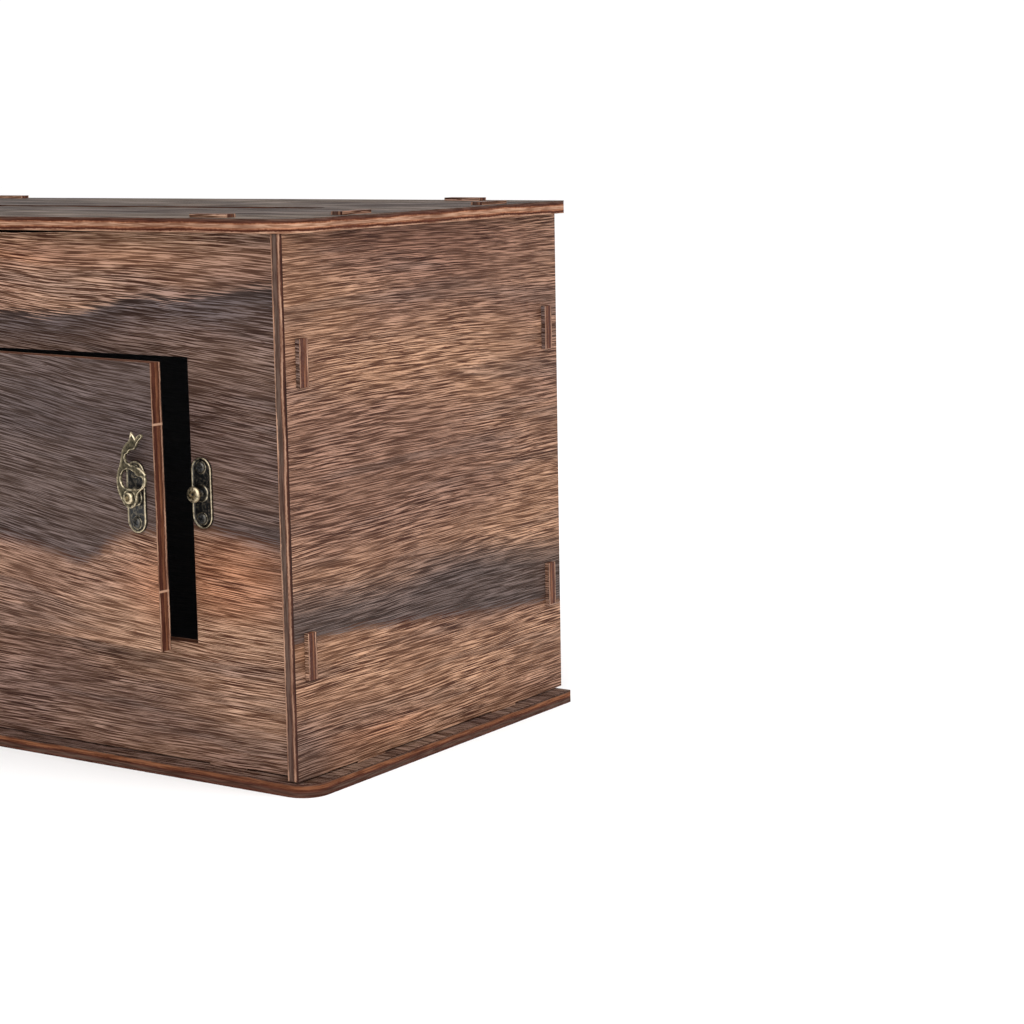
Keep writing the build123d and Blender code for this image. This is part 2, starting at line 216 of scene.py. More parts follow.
# Fixed sizes of the fittings in millimetres; the large ones are the frame's
HINGES = ("lower", "upper")
SCREW = {"head": 2.0, "head_top": 1.55, "rim": 0.15, "height": 0.62, "dome": 0.08, "cross_width": 0.54,
         "cross_length": 2.3, "shank": 0.9, "depth": 3.8, "tip": 0.8, "plate_offsets": (-9.3, 9.3)}
SEAT = {"gap": 0.02, "foot": 0.1, "wear": 0.6}          # ring round a screw's head
HINGE_LEAF = {"width": 10.5, "inner": 2.0, "thickness": 0.8, "height": 25.0, "corner": 1.5,
              "knuckle": 1.6, "bevel": 0.15, "bore": 0.86, "gap": 0.15, "screws": 15.0,
              "screw_offset": 6.4, "ring_width": 0.3, "ring_height": 0.06, "web_overlap": 0.3}
HOOK_RING = {"radius": 3.0, "width": 0.35, "wear": 0.6}
HOOK_ARRIS = {"inside": 0.30, "width": 0.22, "wear": 0.72}      # the worn line along the edges
HOOK_EDGE_HEIGHT = 0.4          # share of the thickness at the outline
HOOK_VALLEY = 0.30              # depth of the valley, as a share of the thickness
HOOK_SLOPE = 0.35               # width of the valley's slope
HOOK_UNDERSIDE = 0.35           # how far the underside is rounded, as a share of the thickness
# Brightening of the hook's spots, which are partly painted highlight
HOOK_HIGHLIGHT_AND_RUB_WEAR = 0.9

# Spots of bright brass on the hook, partly rubbed and partly painted highlight: place from the rivet in
# millimetres, and radius
HOOK_HIGHLIGHT_AND_RUB_SPOTS = (((2.5, 23.9), 2.2), ((6.9, 10.5), 1.6), ((6.2, 4.5), 1.5), ((-2.6, 5.6), 1.3))

# Profiles of turned pieces: rows of radius, height in millimetres, and wear
POST = [(0, 0.2, -1), (2.1, 0.2, -1), (2.1, 1.15, -0.1), (1.5, 1.5, -1), (1.3, 2.2, -1), (1.3, 4.2, -1),
        (1.6, 4.6, -0.8), (2.95, 4.62, 0.1), (3.0, 5.35, 0.6), (2.45, 6.02, 0.8), (0.95, 6.12, 0.4),
        (0.50, 5.98, -0.1), (0, 5.92, -0.3)]
BOSS = [(0, 0.1, -1), (3.4, 0.1, -1), (3.4, 0.95, 0.2), (3.15, 1.25, 0.6), (2.6, 1.45, -0.1),
        (1.6, 1.6, -0.4), (0, 1.65, -0.4)]
RIVET = [(0, 0.2, -1), (2.4, 0.2, -1), (2.4, 2.7, -0.3), (2.2, 2.88, -0.1), (1.15, 2.88, -1),
         (1.15, 4.3, -1), (2.0, 4.3, 0.2), (2.1, 4.62, 0.9), (1.6, 5.05, 0.9), (0.9, 5.12, 0.3),
         (0.5, 5.05, 0.1), (0, 5.0, 0.0)]


def colour(name, text, value):
    """A colour setting."""
    return FloatVectorProperty(name=name, description=text, default=value, size=3,
                               min=0.0, max=1.0, subtype="COLOR")


def length(name, text, value):
    """A length setting, in metres."""
    return FloatProperty(name=name, description=text, default=value, unit="LENGTH", precision=5)


def gain(name, text, value):
    """A setting that multiplies a colour."""
    return FloatVectorProperty(name=name, description=text, default=value, size=3, min=0.0, max=8.0)


def angle(name, text, value):
    """An angle setting, in radians."""
    return FloatProperty(name=name, description=text, default=value, subtype="ANGLE")


class CARDBOX_wood(bpy.types.PropertyGroup):
    """Colours and grain of the stained plywood."""
    tan: colour("Tan", "Lightest stain on the veneer", (0.180, 0.090, 0.050))
    brown: colour("Brown", "Main stain on the veneer", (0.120, 0.058, 0.036))
    orange: colour("Orange", "Warm patches of the veneer", (0.205, 0.082, 0.039))
    # Grey brown of the painted reflection bands, also used for the dark patches and the wisps
    dark: colour("Painted reflection band", "Grey brown of the dark bands", (0.038, 0.0265, 0.0240))
    core: colour("Core", "Dark red ply on a cut edge", (0.075, 0.022, 0.012))
    umber: colour("Umber", "Grey brown ply on a cut edge", (0.092, 0.058, 0.044))
    rust: colour("Rust", "Orange ply on a cut edge", (0.330, 0.140, 0.072))
    ply: colour("Outer ply", "Light plies on a cut edge", (0.400, 0.235, 0.155))
    char: colour("Char", "Scorched line along an arris", (0.022, 0.009, 0.006))
    # Painted shade: the inside is the same wood, darkened to near black because the room lies in shade
    inside: colour("Inside", "Painted shade inside the box", (0.052, 0.055, 0.060))
    # Ridges and grooves: partly the grain's own light and dark, partly painted highlight and painted shade
    # of its relief
    fleck_and_highlight_gain: gain("Fleck", "Brightness of the ridges against the wood", (2.9, 3.5, 4.2))
    groove_and_shade_gain: gain("Groove", "Brightness of the grooves against the wood", (0.25, 0.125, 0.080))
    line_length: length("Line length", "Length of the lines of the grain", 14.0 * MM)
    line_spacing: length("Line spacing", "Distance between the lines of the grain", 0.26 * MM)
    wave: length("Wave", "Height of the waves in the grain", 7.0 * MM)
    relief: length("Relief", "Depth of the grain", 0.15 * MM)


class CARDBOX_metal(bpy.types.PropertyGroup):
    """Colours and wear of the antique fittings."""
    patina: colour("Patina", "Black patina in the hollows", (0.055, 0.056, 0.059))
    bronze: colour("Bronze", "Dark bronze of the hinges", (0.075, 0.062, 0.042))
    olive: colour("Olive", "Olive brass of the cast hook", (0.190, 0.160, 0.100))
    brass: colour("Brass", "Brass where the patina is worn off", (0.640, 0.540, 0.370))
    rivet: colour("Rivet", "Brown brass of the post and the rivet", (0.330, 0.240, 0.120))
    screw: colour("Screw", "Blackened screws", (0.100, 0.104, 0.110))
    rim_width: length("Rim width", "Width of the raised rim of an oval plate", 0.75 * MM)
    recess: length("Recess", "Depth of the sunk middle of an oval plate", 0.40 * MM)
    seat_width: length("Seat width", "Width of the ring round a screw", 0.45 * MM)
    cross_depth: length("Cross depth", "Depth of the cross in a screw head", 0.45 * MM)
    edge_radius: length("Edge radius", "Roundness of the hook's edges", 0.40 * MM)


class CARDBOX_stage(bpy.types.PropertyGroup):
    """Floor, lights and camera."""
    floor: colour("Floor", "Pale floor", (0.95, 0.95, 0.95))
    floor_radius: length("Floor radius", "Radius of the round floor", 9.0)
    card_radius: length("Card radius", "Distance of the black card from the middle of the box", 0.60)
    card_height: length("Card height", "Height of the black card", 0.42)
    card_start: angle("Card start", "Angle of the card's left end, from the X axis", math.radians(178))
    card_end: angle("Card end", "Angle of the card's right end, from the X axis", math.radians(268))
    sky: FloatProperty(name="Sky", description="Strength of the even white light", default=1.06)
    key: FloatProperty(name="Key light", description="Power of the main light", default=28.0, unit="POWER")
    camera_place: FloatVectorProperty(name="Camera", description="Place of the camera",
                                      default=(0.69829, -0.74278, 0.23713), subtype="TRANSLATION")
    lens: FloatProperty(name="Lens", description="Focal length in millimetres", default=86.24)
    pitch: angle("Pitch", "Camera's tilt below level", 0.15978)
    yaw: angle("Yaw", "Camera's turn to the left of the Y axis", 0.59096)
    roll: angle("Roll", "Camera's lean", -0.01756)


# Shader nodes

def add(tree, kind, values=None, **settings):
    """A node with its settings, then its inputs, each a number, a colour or a link."""
    node = tree.nodes.new(kind)
    for name, value in settings.items():
        setattr(node, name, value)
    for socket, value in (values or {}).items():
        connect(tree, node.inputs[socket], value)
    return node


def connect(tree, socket, value):
    """Links a socket to another or sets its value."""
    if isinstance(value, bpy.types.NodeSocket):
        tree.links.new(value, socket)
    elif socket.type == "RGBA" and len(value) == 3:
        socket.default_value = (*value, 1.0)
    else:
        socket.default_value = value


def maths(tree, operation, *values):
    """Result of one Math node."""
    return add(tree, "ShaderNodeMath", dict(enumerate(values)), operation=operation).outputs[0]


def vector_maths(tree, operation, *values):
    """Result of one Vector Math node: a number for LENGTH and otherwise a vector."""
    outputs = add(tree, "ShaderNodeVectorMath", dict(enumerate(values)), operation=operation).outputs
    return outputs["Value" if operation == "LENGTH" else "Vector"]


def separated(tree, vector):
    """The X, Y and Z sockets of a vector."""
    return add(tree, "ShaderNodeSeparateXYZ", {0: vector}).outputs


def combined(tree, x, y, z):
    """A vector from three values."""
    return add(tree, "ShaderNodeCombineXYZ", {0: x, 1: y, 2: z}).outputs[0]


def mapped(tree, value, low, high, start=0.0, end=1.0, how="SMOOTHSTEP"):
    """A value carried from start at low to end at high, smoothly or in a straight line."""
    inputs = {"Value": value, "From Min": low, "From Max": high, "To Min": start, "To Max": end}
    return add(tree, "ShaderNodeMapRange", inputs, interpolation_type=how).outputs[0]


def blended(tree, factor, first, second, blend="MIX"):
    """Two colours mixed by a factor."""
    node = add(tree, "ShaderNodeMix", data_type="RGBA", blend_type=blend)
    for socket, value in ((0, factor), (6, first), (7, second)):
        connect(tree, node.inputs[socket], value)
    return node.outputs[2]


def noise(tree, vector, scale, detail=2.0, roughness=0.5):
    """A noise value from 0 to 1 about 0.5."""
    inputs = {"Vector": vector, "Scale": scale, "Detail": detail, "Roughness": roughness}
    return add(tree, "ShaderNodeTexNoise", inputs).outputs[0]


def centred(tree, value):
    """A value from 0 to 1 moved down to lie about 0."""
    return maths(tree, "SUBTRACT", value, 0.5)


def placed(tree, name, values):
    """Outputs of a node for the shader group of that name, with its own input values."""
    return add(tree, "ShaderNodeGroup", values, node_tree=shader_group(name)).outputs


def shader_group(name):
    """The node group of that name, built once from its inputs' defaults and its function.

    An input without a default is a vector. The function gets the tree and the input sockets
    and gives the values to put out, by name."""
    tree = bpy.data.node_groups.get(name)
    if tree:
        return tree
    inputs, build = GROUPS[name]
    tree = bpy.data.node_groups.new(name, "ShaderNodeTree")
    for label, value in inputs.items():
        kind = "NodeSocketVector" if value is None else "NodeSocketFloat"
        socket = tree.interface.new_socket(label, in_out="INPUT", socket_type=kind)
        if value is not None:
            socket.default_value = value
    made = build(tree, tree.nodes.new("NodeGroupInput").outputs)
    for label in made:
        tree.interface.new_socket(label, in_out="OUTPUT", socket_type="NodeSocketFloat")
    ends = tree.nodes.new("NodeGroupOutput").inputs
    for label, value in made.items():
        tree.links.new(value, ends[label])
    return tree


def wood_grain(tree, given):
    """Grain of the veneer: noises stretched along the grain, tilted, and bent by slow waves.

    The lines are a fine noise, with a little of a broader one and of a sine of the height, whose
    phase the broader one shifts. Ridges are their high parts and grooves their low parts. Pores
    are the lowest parts of a short, thin noise. A slow noise fades them all in places."""
    place = separated(tree, given["Place"])
    layer = maths(tree, "MULTIPLY_ADD", place[2], LAYER_CELLS, given["Seed"])

    def stretched(cells, across, detail=1.0):
        """Noise with so many cells to a metre along the grain and across it."""
        along_grain = maths(tree, "MULTIPLY", place[0], cells[0])
        across_grain = maths(tree, "MULTIPLY", across, cells[1])
        return noise(tree, combined(tree, along_grain, across_grain, layer), 1.0, detail)

    slow = centred(tree, stretched(SLOW_WAVE_CELLS, place[1]))
    quick = centred(tree, stretched(QUICK_WAVE_CELLS, place[1]))
    sway = maths(tree, "MULTIPLY_ADD", quick, QUICK_WAVE_SHARE, slow)
    bend = maths(tree, "MULTIPLY", sway, given["Wave"])
    across = maths(tree, "ADD", place[1], maths(tree, "MULTIPLY_ADD", place[0], given["Tilt"], bend))
    along_cells = maths(tree, "DIVIDE", 1.0, given["Line length"])
    across_cells = maths(tree, "DIVIDE", 1.0, given["Line spacing"])
    fine = stretched((along_cells, across_cells), across)
    broad_cells = [maths(tree, "MULTIPLY", cells, share)
                   for cells, share in zip((along_cells, across_cells), BROAD_SHARE)]
    broad = stretched(broad_cells, across)
    height = maths(tree, "MULTIPLY", across_cells, maths(tree, "MULTIPLY", across, RIPPLE_TURN))
    ripple = maths(tree, "SINE", maths(tree, "MULTIPLY_ADD", broad, RIPPLE_SHIFT, height))
    lines = maths(tree, "MULTIPLY_ADD", centred(tree, broad), BROAD_WEIGHT, fine)
    lines = maths(tree, "MULTIPLY_ADD", ripple, RIPPLE_WEIGHT, lines)
    pores = stretched((maths(tree, "MULTIPLY", along_cells, PORE_SHARE), across_cells), across)
    fade = mapped(tree, stretched(FADE_CELLS, across), *FADE_RANGE, *FADE_TO)
    groove_and_shade = maths(tree, "MAXIMUM", mapped(tree, lines, *GROOVE_RANGE), mapped(tree, pores, *PORE_RANGE))
    return {
        "Fleck": maths(tree, "MULTIPLY", mapped(tree, lines, *RIDGE_RANGE), fade),
        "Groove": maths(tree, "MULTIPLY", groove_and_shade, fade),
        "Cloud": stretched(CLOUD_CELLS, place[1], detail=2.0),
        "Wisp": mapped(tree, stretched(WISP_CELLS, across, detail=2.0), *WISP_RANGE),
        "Height": mapped(tree, lines, *LINE_RANGE),
        "Ragged": centred(tree, lines),
    }


def plywood_sheet(tree, given):
    """Cut edge of a plywood sheet: Layer runs from 0 on the inner face to 1 on the outer one,
    shifted by two noises, and Face is 1 on the veneer and 0 on a cut edge. The output for the inner
    face is 1 on the part of the inner face that lies in the box's room, which painted shade darkens.
    Burn and Streak are noises for scorched places and for the fibres of the plies."""
    place = separated(tree, given["Place"])
    shifted = vector_maths(tree, "ADD", given["Place"], given["Seed"])
    slow, quick = (centred(tree, noise(tree, shifted, cells)) for cells in WOBBLE_CELLS)
    slow = maths(tree, "MULTIPLY", slow, WOBBLE_HEIGHT[0])
    wobble = maths(tree, "MULTIPLY_ADD", quick, WOBBLE_HEIGHT[1], slow)
    layer = maths(tree, "DIVIDE", maths(tree, "ADD", place[2], wobble), given["Half thickness"])
    just_inside = maths(tree, "SUBTRACT", given["Half thickness"], FACE_SKIN)
    face = maths(tree, "GREATER_THAN", maths(tree, "ABSOLUTE", place[2]), just_inside)
    from_middle = vector_maths(tree, "SUBTRACT", given["Place"], given["Room middle"])
    from_middle = vector_maths(tree, "ABSOLUTE", from_middle)
    beyond = separated(tree, vector_maths(tree, "SUBTRACT", from_middle, given["Room half size"]))
    in_room = maths(tree, "LESS_THAN", maths(tree, "MAXIMUM", beyond[0], beyond[1]), 0.0)
    inner = maths(tree, "MULTIPLY", maths(tree, "LESS_THAN", place[2], 0.0), in_room)
    along = [maths(tree, "MULTIPLY", place[axis], STREAK_CELLS[0]) for axis in (0, 1)]
    through = maths(tree, "MULTIPLY_ADD", place[2], STREAK_CELLS[1], given["Seed"])
    streak = noise(tree, combined(tree, *along, through), 1.0)
    return {
        "Layer": maths(tree, "MULTIPLY_ADD", layer, 0.5, 0.5),
        "Face": face,
        "Inner face": maths(tree, "MULTIPLY", face, inner),
        "Burn": mapped(tree, noise(tree, shifted, BURN_CELLS, detail=3.0, roughness=0.6), *BURN_RANGE),
        "Streak": mapped(tree, streak, *STREAK_RANGE),
    }


def painted_reflection_band(tree, given):
    """A band of painted reflection between two edges: full at each edge, fading to a middle strength over
    a distance, and blurred across the edges by their softness."""
    below = maths(tree, "SUBTRACT", given["Upper edge"], given["Height"])
    above = maths(tree, "SUBTRACT", given["Height"], given["Lower edge"])
    inside, strong = [], []
    for away, edge in ((below, "Upper"), (above, "Lower")):
        softness, fade = given[edge + " softness"], given[edge + " fade"]
        inside.append(mapped(tree, maths(tree, "DIVIDE", away, softness), -0.5, 0.5))
        strong.append(mapped(tree, maths(tree, "DIVIDE", away, fade), 1.0, 0.0))
    strength = maths(tree, "MAXIMUM", maths(tree, "MAXIMUM", *strong), given["Middle"])
    return {"Band": maths(tree, "MULTIPLY", maths(tree, "MULTIPLY", *inside), strength)}


def stain_patch(tree, given):
    """A soft oval patch: 1 at its centre, falling smoothly to 0 at its radii, with a ragged edge."""
    offset = vector_maths(tree, "SUBTRACT", given["Place"], given["Centre"])
    radius = vector_maths(tree, "LENGTH", vector_maths(tree, "MULTIPLY", offset, given["Stretch"]))
    radius = maths(tree, "MULTIPLY_ADD", given["Ragged"], PATCH_RAGGED, radius)
    return {"Patch": mapped(tree, radius, *PATCH_RANGE)}


def worn_metal(tree, given):
    """Patina: one mask is 1 on worn metal and one is 1 in hollows, where the wear is below zero,
    both from the wear of the place plus a blotchy noise."""
    blotch = noise(tree, given["Place"], given["Blotches"], detail=3.0, roughness=0.6)
    fine_cells = maths(tree, "MULTIPLY", given["Blotches"], FINE_SHARE)
    spread = centred(tree, blotch)
    worn = maths(tree, "MULTIPLY_ADD", spread, WORN_BLOTCH, given["Wear"])
    hollow = maths(tree, "MULTIPLY_ADD", spread, HOLLOW_BLOTCH, given["Wear"])
    return {
        "Worn": mapped(tree, worn, *WORN_RANGE),
        "Hollow": mapped(tree, hollow, *HOLLOW_RANGE),
        "Mottle": mapped(tree, blotch, *MOTTLE_RANGE),
        "Height": noise(tree, given["Place"], fine_cells, detail=3.0),
    }


# Shader groups: the inputs with their defaults, and the function that builds each
GROUPS = {
    "Wood grain": ({"Place": None, "Line length": 14 * MM, "Line spacing": 0.26 * MM, "Tilt": 0.0,
                    "Wave": 7 * MM, "Seed": 0.0}, wood_grain),
    "Plywood sheet": ({"Place": None, "Half thickness": 2.5 * MM, "Room middle": None,
                       "Room half size": None, "Seed": 0.0}, plywood_sheet),
    "Painted reflection band": ({"Height": 0.0, "Upper edge": 0.0, "Lower edge": 0.0, "Upper softness": 1 * MM,
                   "Lower softness": 1 * MM, "Upper fade": 20 * MM, "Lower fade": 20 * MM,
                   "Middle": 0.5}, painted_reflection_band),
    "Stain patch": ({"Place": None, "Centre": None, "Stretch": None, "Ragged": 0.0}, stain_patch),
    "Worn metal": ({"Place": None, "Wear": 0.0, "Blotches": 900.0}, worn_metal),
}


def new_material(name):
    """An empty material: its tree and its Principled BSDF."""
    material = bpy.data.materials.new(name)
    material.use_nodes = True
    tree = material.node_tree
    return material, tree, tree.nodes["Principled BSDF"]


def sheet_place(tree, turn, middle):
    """Object coordinates turned into a sheet's own, with the sheet's middle at zero thickness."""
    shift = Matrix.Translation((0, 0, -middle)) @ turn
    source = add(tree, "ShaderNodeTexCoord").outputs["Object"]
    values = {"Vector": source, "Location": shift.translation, "Rotation": shift.to_euler()}
    return add(tree, "ShaderNodeMapping", values).outputs[0]


def edge_curve(tree, along, points):
    """Height of a band's edge along the sheet, in metres: a smooth curve through a few points
    in millimetres, scaled to the unit square of a Float Curve node."""
    start, end = points[0][0] * MM, points[-1][0] * MM
    node = add(tree, "ShaderNodeFloatCurve", {"Value": mapped(tree, along, start, end, how="LINEAR")})
    curve = node.mapping.curves[0]
    scaled = [((x * MM - start) / (end - start), z * MM / BAND_SCALE) for x, z in points]
    curve.points[0].location = scaled[0]
    curve.points[1].location = scaled[-1]
    for x, z in scaled[1:-1]:
        curve.points.new(x, z)
    node.mapping.update()
    return maths(tree, "MULTIPLY", node.outputs[0], BAND_SCALE)


def layer_colours(tree, layer, wood, layers):
    """Colour of a cut edge: the plies from the inner face to the outer one, as named stops."""
    node = add(tree, "ShaderNodeValToRGB", {"Fac": layer})
    stops = node.color_ramp.elements
    while len(stops) < len(layers):
        stops.new(1.0)
    for stop, (position, name) in zip(stops, layers):
        stop.position = position
        stop.color = (*getattr(wood, name), 1.0)
    return node.outputs[0]


def veneer_colour(tree, wood, look, place, grain):
    """Colour of a veneer: clouds of two browns, soft patches, dark bands of painted reflection, wisps,
    and on top of them the grooves and ridges of the grain, partly painted shade and highlight, which
    the bands calm."""
    axes = separated(tree, place)
    veneer = blended(tree, mapped(tree, grain["Cloud"], *CLOUD_RANGE), wood.brown, wood.tan)
    for centre, radii, name, strength in look["patches"]:
        patch = placed(tree, "Stain patch", {
            "Place": place, "Centre": (centre[0] * MM, centre[1] * MM, 0.0),
            "Stretch": (1 / (radii[0] * MM), 1 / (radii[1] * MM), 0.0),
            "Ragged": centred(tree, grain["Cloud"]),
        })["Patch"]
        veneer = blended(tree, maths(tree, "MULTIPLY", patch, strength), veneer, getattr(wood, name))
    contrast = look["contrast"]
    # Painted reflection: each dark band is mixed into the veneer's colour and calms the grain's contrast
    for band in look["bands"]:
        mask = placed(tree, "Painted reflection band", {
            "Height": maths(tree, "MULTIPLY_ADD", grain["Ragged"], BAND_RAGGED, axes[1]),
            "Upper edge": edge_curve(tree, axes[0], band["upper"]),
            "Lower edge": edge_curve(tree, axes[0], band["lower"]),
            "Upper softness": band["softness"][0] * MM, "Lower softness": band["softness"][1] * MM,
            "Upper fade": band["fade"][0] * MM, "Lower fade": band["fade"][1] * MM,
            "Middle": band["middle"],
        })["Band"]
        veneer = blended(tree, maths(tree, "MULTIPLY", mask, band["strength"]), veneer, wood.dark)
        contrast = maths(tree, "MULTIPLY_ADD", mask, -band["calm"], contrast)
    veneer = blended(tree, maths(tree, "MULTIPLY", grain["Wisp"], WISP_STRENGTH), veneer, wood.dark)
    # Painted highlight and shade in part: the ridges are brightened and the grooves darkened in the colour
    for part, strength in (("Groove", wood.groove_and_shade_gain), ("Fleck", wood.fleck_and_highlight_gain)):
        veneer = blended(tree, maths(tree, "MULTIPLY", grain[part], contrast), veneer, strength, "MULTIPLY")
    # The look's tint, which on the top plate is partly painted grey sheen
    return blended(tree, 1.0, veneer, look["tint_and_sheen"], "MULTIPLY")


def wood_material(context, name, turn, middle, look, carry=None):
    """Stained veneer on a plywood sheet, with its cut edges, for one panel, which a matrix may
    carry to its place in the sheet first.

    A look holds the seed of the grain, its tilt at half height and at the ends, how much longer
    and further apart its lines are, the bands of painted reflection and the patches of the stain, the
    contrast of the grain, a colour it is multiplied by, which on the top plate is partly painted grey
    sheen, the plies of a cut edge, how far the inner face is darkened with painted shade, the heights
    in millimetres of uncut nibs that leave a light mark on the edge, and the shine."""
    wood = context.scene.cardbox_wood
    material, tree, shader = new_material(name)
    place = sheet_place(tree, turn @ carry if carry else turn, middle)
    axes = separated(tree, place)
    from_middle = maths(tree, "ABSOLUTE", maths(tree, "SUBTRACT", axes[1], TILT_MIDDLE))
    grain = placed(tree, "Wood grain", {
        "Place": place, "Line length": wood.line_length * look["stretch"][0],
        "Line spacing": wood.line_spacing * look["stretch"][1],
        "Tilt": mapped(tree, from_middle, *TILT_SPAN, *look["tilt"]),
        "Wave": wood.wave, "Seed": look["seed"],
    })
    room_middle, room_half_size = room_on(turn)
    sheet = placed(tree, "Plywood sheet", {
        "Place": place, "Half thickness": SHEET / 2, "Seed": look["seed"],
        "Room middle": room_middle, "Room half size": room_half_size,
    })
    edge = layer_colours(tree, sheet["Layer"], wood, look["plies"])
    edge = blended(tree, maths(tree, "MULTIPLY", sheet["Burn"], BURN_STRENGTH), edge, wood.core)
    edge = blended(tree, sheet["Streak"], edge, STREAK_GAIN, "MULTIPLY")
    surface = blended(tree, sheet["Face"], edge, veneer_colour(tree, wood, look, place, grain))
    # Painted shade: the inner face in the box's room is darkened towards near black
    inside = maths(tree, "MULTIPLY", sheet["Inner face"], look["inside"])
    surface = blended(tree, inside, surface, wood.inside)
    for height in look["nibs"]:
        away = maths(tree, "ABSOLUTE", maths(tree, "SUBTRACT", axes[1], height * MM))
        on_edge = maths(tree, "SUBTRACT", 1.0, sheet["Face"])
        mark = maths(tree, "MULTIPLY", mapped(tree, away, *NIB_BLUR), on_edge)
        surface = blended(tree, mark, surface, wood.ply)
    connect(tree, shader.inputs["Base Color"], surface)
    connect(tree, shader.inputs["Roughness"], mapped(tree, grain["Height"], 0.0, 1.0, *WOOD_ROUGHNESS))
    shader.inputs["Specular IOR Level"].default_value = look["shine"]
    height = maths(tree, "ADD", maths(tree, "MULTIPLY", grain["Height"], sheet["Face"]),
                   maths(tree, "MULTIPLY", sheet["Streak"], STREAK_RELIEF))
    bump = add(tree, "ShaderNodeBump", {"Strength": WOOD_BUMP, "Distance": wood.relief, "Height": height})
    tree.links.new(bump.outputs[0], shader.inputs["Normal"])
    return material


def metal_material(context, name, dark, bright, bias=0.0, roughness=0.38):
    """Antique metal: a dark colour, brightened where the piece's wear and a blotchy noise rub it."""
    material, tree, shader = new_material(name)
    source = add(tree, "ShaderNodeTexCoord").outputs["Object"]
    wear = add(tree, "ShaderNodeAttribute", attribute_name="wear").outputs["Fac"]
    worn = placed(tree, "Worn metal", {"Place": source, "Wear": maths(tree, "ADD", wear, bias)})
    metal = context.scene.cardbox_metal
    tone = blended(tree, worn["Mottle"], metal.bronze, dark)
    tone = blended(tree, worn["Worn"], tone, bright)
    # Hollows: patina with bright blotches, partly painted glints
    hollow = blended(tree, mapped(tree, worn["Mottle"], 0.5, 1.0, 0.0, HOLLOW_RUB_AND_GLINT), metal.patina, bright)
    connect(tree, shader.inputs["Base Color"], blended(tree, worn["Hollow"], tone, hollow))
    rough = (roughness + METAL_SPREAD[0], roughness + METAL_SPREAD[1])
    connect(tree, shader.inputs["Roughness"], mapped(tree, worn["Mottle"], 0.0, 1.0, *rough))
    shader.inputs["Metallic"].default_value = 1.0
    bump = add(tree, "ShaderNodeBump",
               {"Strength": METAL_BUMP, "Distance": METAL_RELIEF, "Height": worn["Height"]})
    tree.links.new(bump.outputs[0], shader.inputs["Normal"])
    return material


def finish_node(node, material):
    """Gives a CAD node its material in every slot."""
    for slot in frame["nodes"][node].material_slots:
        slot.material = material


def middle_of(node, axis):
    """Middle of a node's box along one axis."""
    low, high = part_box(node)
    return (low[axis] + high[axis]) / 2


def room_on(turn):
    """Middle and half size of the box's room in a sheet's coordinates."""
    low = (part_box("left_side_panel")[0].x + SHEET, FRONT_FACE + SHEET, SHEET)
    high = (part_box("right_side_panel")[1].x - SHEET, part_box("back_panel")[1].y - SHEET,
            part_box("top_plate")[0].z)
    one, other = turn @ Vector(low), turn @ Vector(high)
    return (one + other) / 2, Vector(abs(size) / 2 for size in other - one)


def closed_turn():
    """Turn about the hinge that carries the door from its place at rest to its closed place."""
    return Matrix.Translation(HINGE) @ Matrix.Rotation(REST_ANGLE, 4, "Z") @ Matrix.Translation(-HINGE)


class CARDBOX_OT_panels(bpy.types.Operator):
    """Finish the plywood panels and the door"""
    bl_idname = "cardbox.panels"
    bl_label = "Plywood panels"

    def execute(self, context):
        front_middle = -(FRONT_FACE + SHEET / 2)
        back_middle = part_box("back_panel")[1].y - SHEET / 2
        top_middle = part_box("top_plate")[0].z + SHEET / 2
        side_middle = middle_of("right_side_panel", 0)
        panels = {
            "front_panel": (FRONT_SHEET, front_middle, FRONT_LOOK),
            "back_panel": (BACK_SHEET, back_middle, BACK_LOOK),
            "right_side_panel": (RIGHT_SHEET, side_middle, RIGHT_LOOK),
            "left_side_panel": (LEFT_SHEET, side_middle, LEFT_LOOK),
            "top_plate": (TOP_SHEET, top_middle, TOP_LOOK),
            "base_plate": (BASE_SHEET, -SHEET / 2, BASE_LOOK),
            "door_panel": (FRONT_SHEET, front_middle, DOOR_LOOK, closed_turn()),
        }
        for node, sheet in panels.items():
            finish_node(node, wood_material(context, node + "_wood", *sheet))
        return {"FINISHED"}


# Shells of the fittings, in millimetres, each a tuple of points, faces and wear

def rounded(points, radius, steps=4):
    """A polyline with its inner corners rounded.

    Each corner becomes the curve (1-t)^2 a + 2t(1-t) corner + t^2 b, where a and b lie on the
    two sides at the radius, or at 0.45 of a side that is shorter. Every column is carried."""
    points = np.asarray(points, float)
    before, corner, after = points[:-2], points[1:-1], points[2:]
    t = np.linspace(0, 1, steps + 1)[None, :, None]

    def towards(other):
        side = np.hypot(*(other - corner)[:, :2].T)
        return corner + (other - corner) * np.minimum(0.45, radius / np.maximum(side, 1e-9))[:, None]

    a, b = towards(before)[:, None], towards(after)[:, None]
    curves = (1 - t) ** 2 * a + 2 * t * (1 - t) * corner[:, None] + t ** 2 * b
    return np.concatenate((points[:1], curves.reshape(-1, points.shape[1]), points[-1:]))


def ring_faces(rings, sides):
    """Quads between neighbouring closed rings of points, as one index array."""
    row, side = np.meshgrid(np.arange(rings - 1), np.arange(sides), indexing="ij")
    following = (side + 1) % sides
    corners = (row * sides + side, row * sides + following,
               (row + 1) * sides + following, (row + 1) * sides + side)
    return np.stack(corners, axis=-1).reshape(-1, 4)


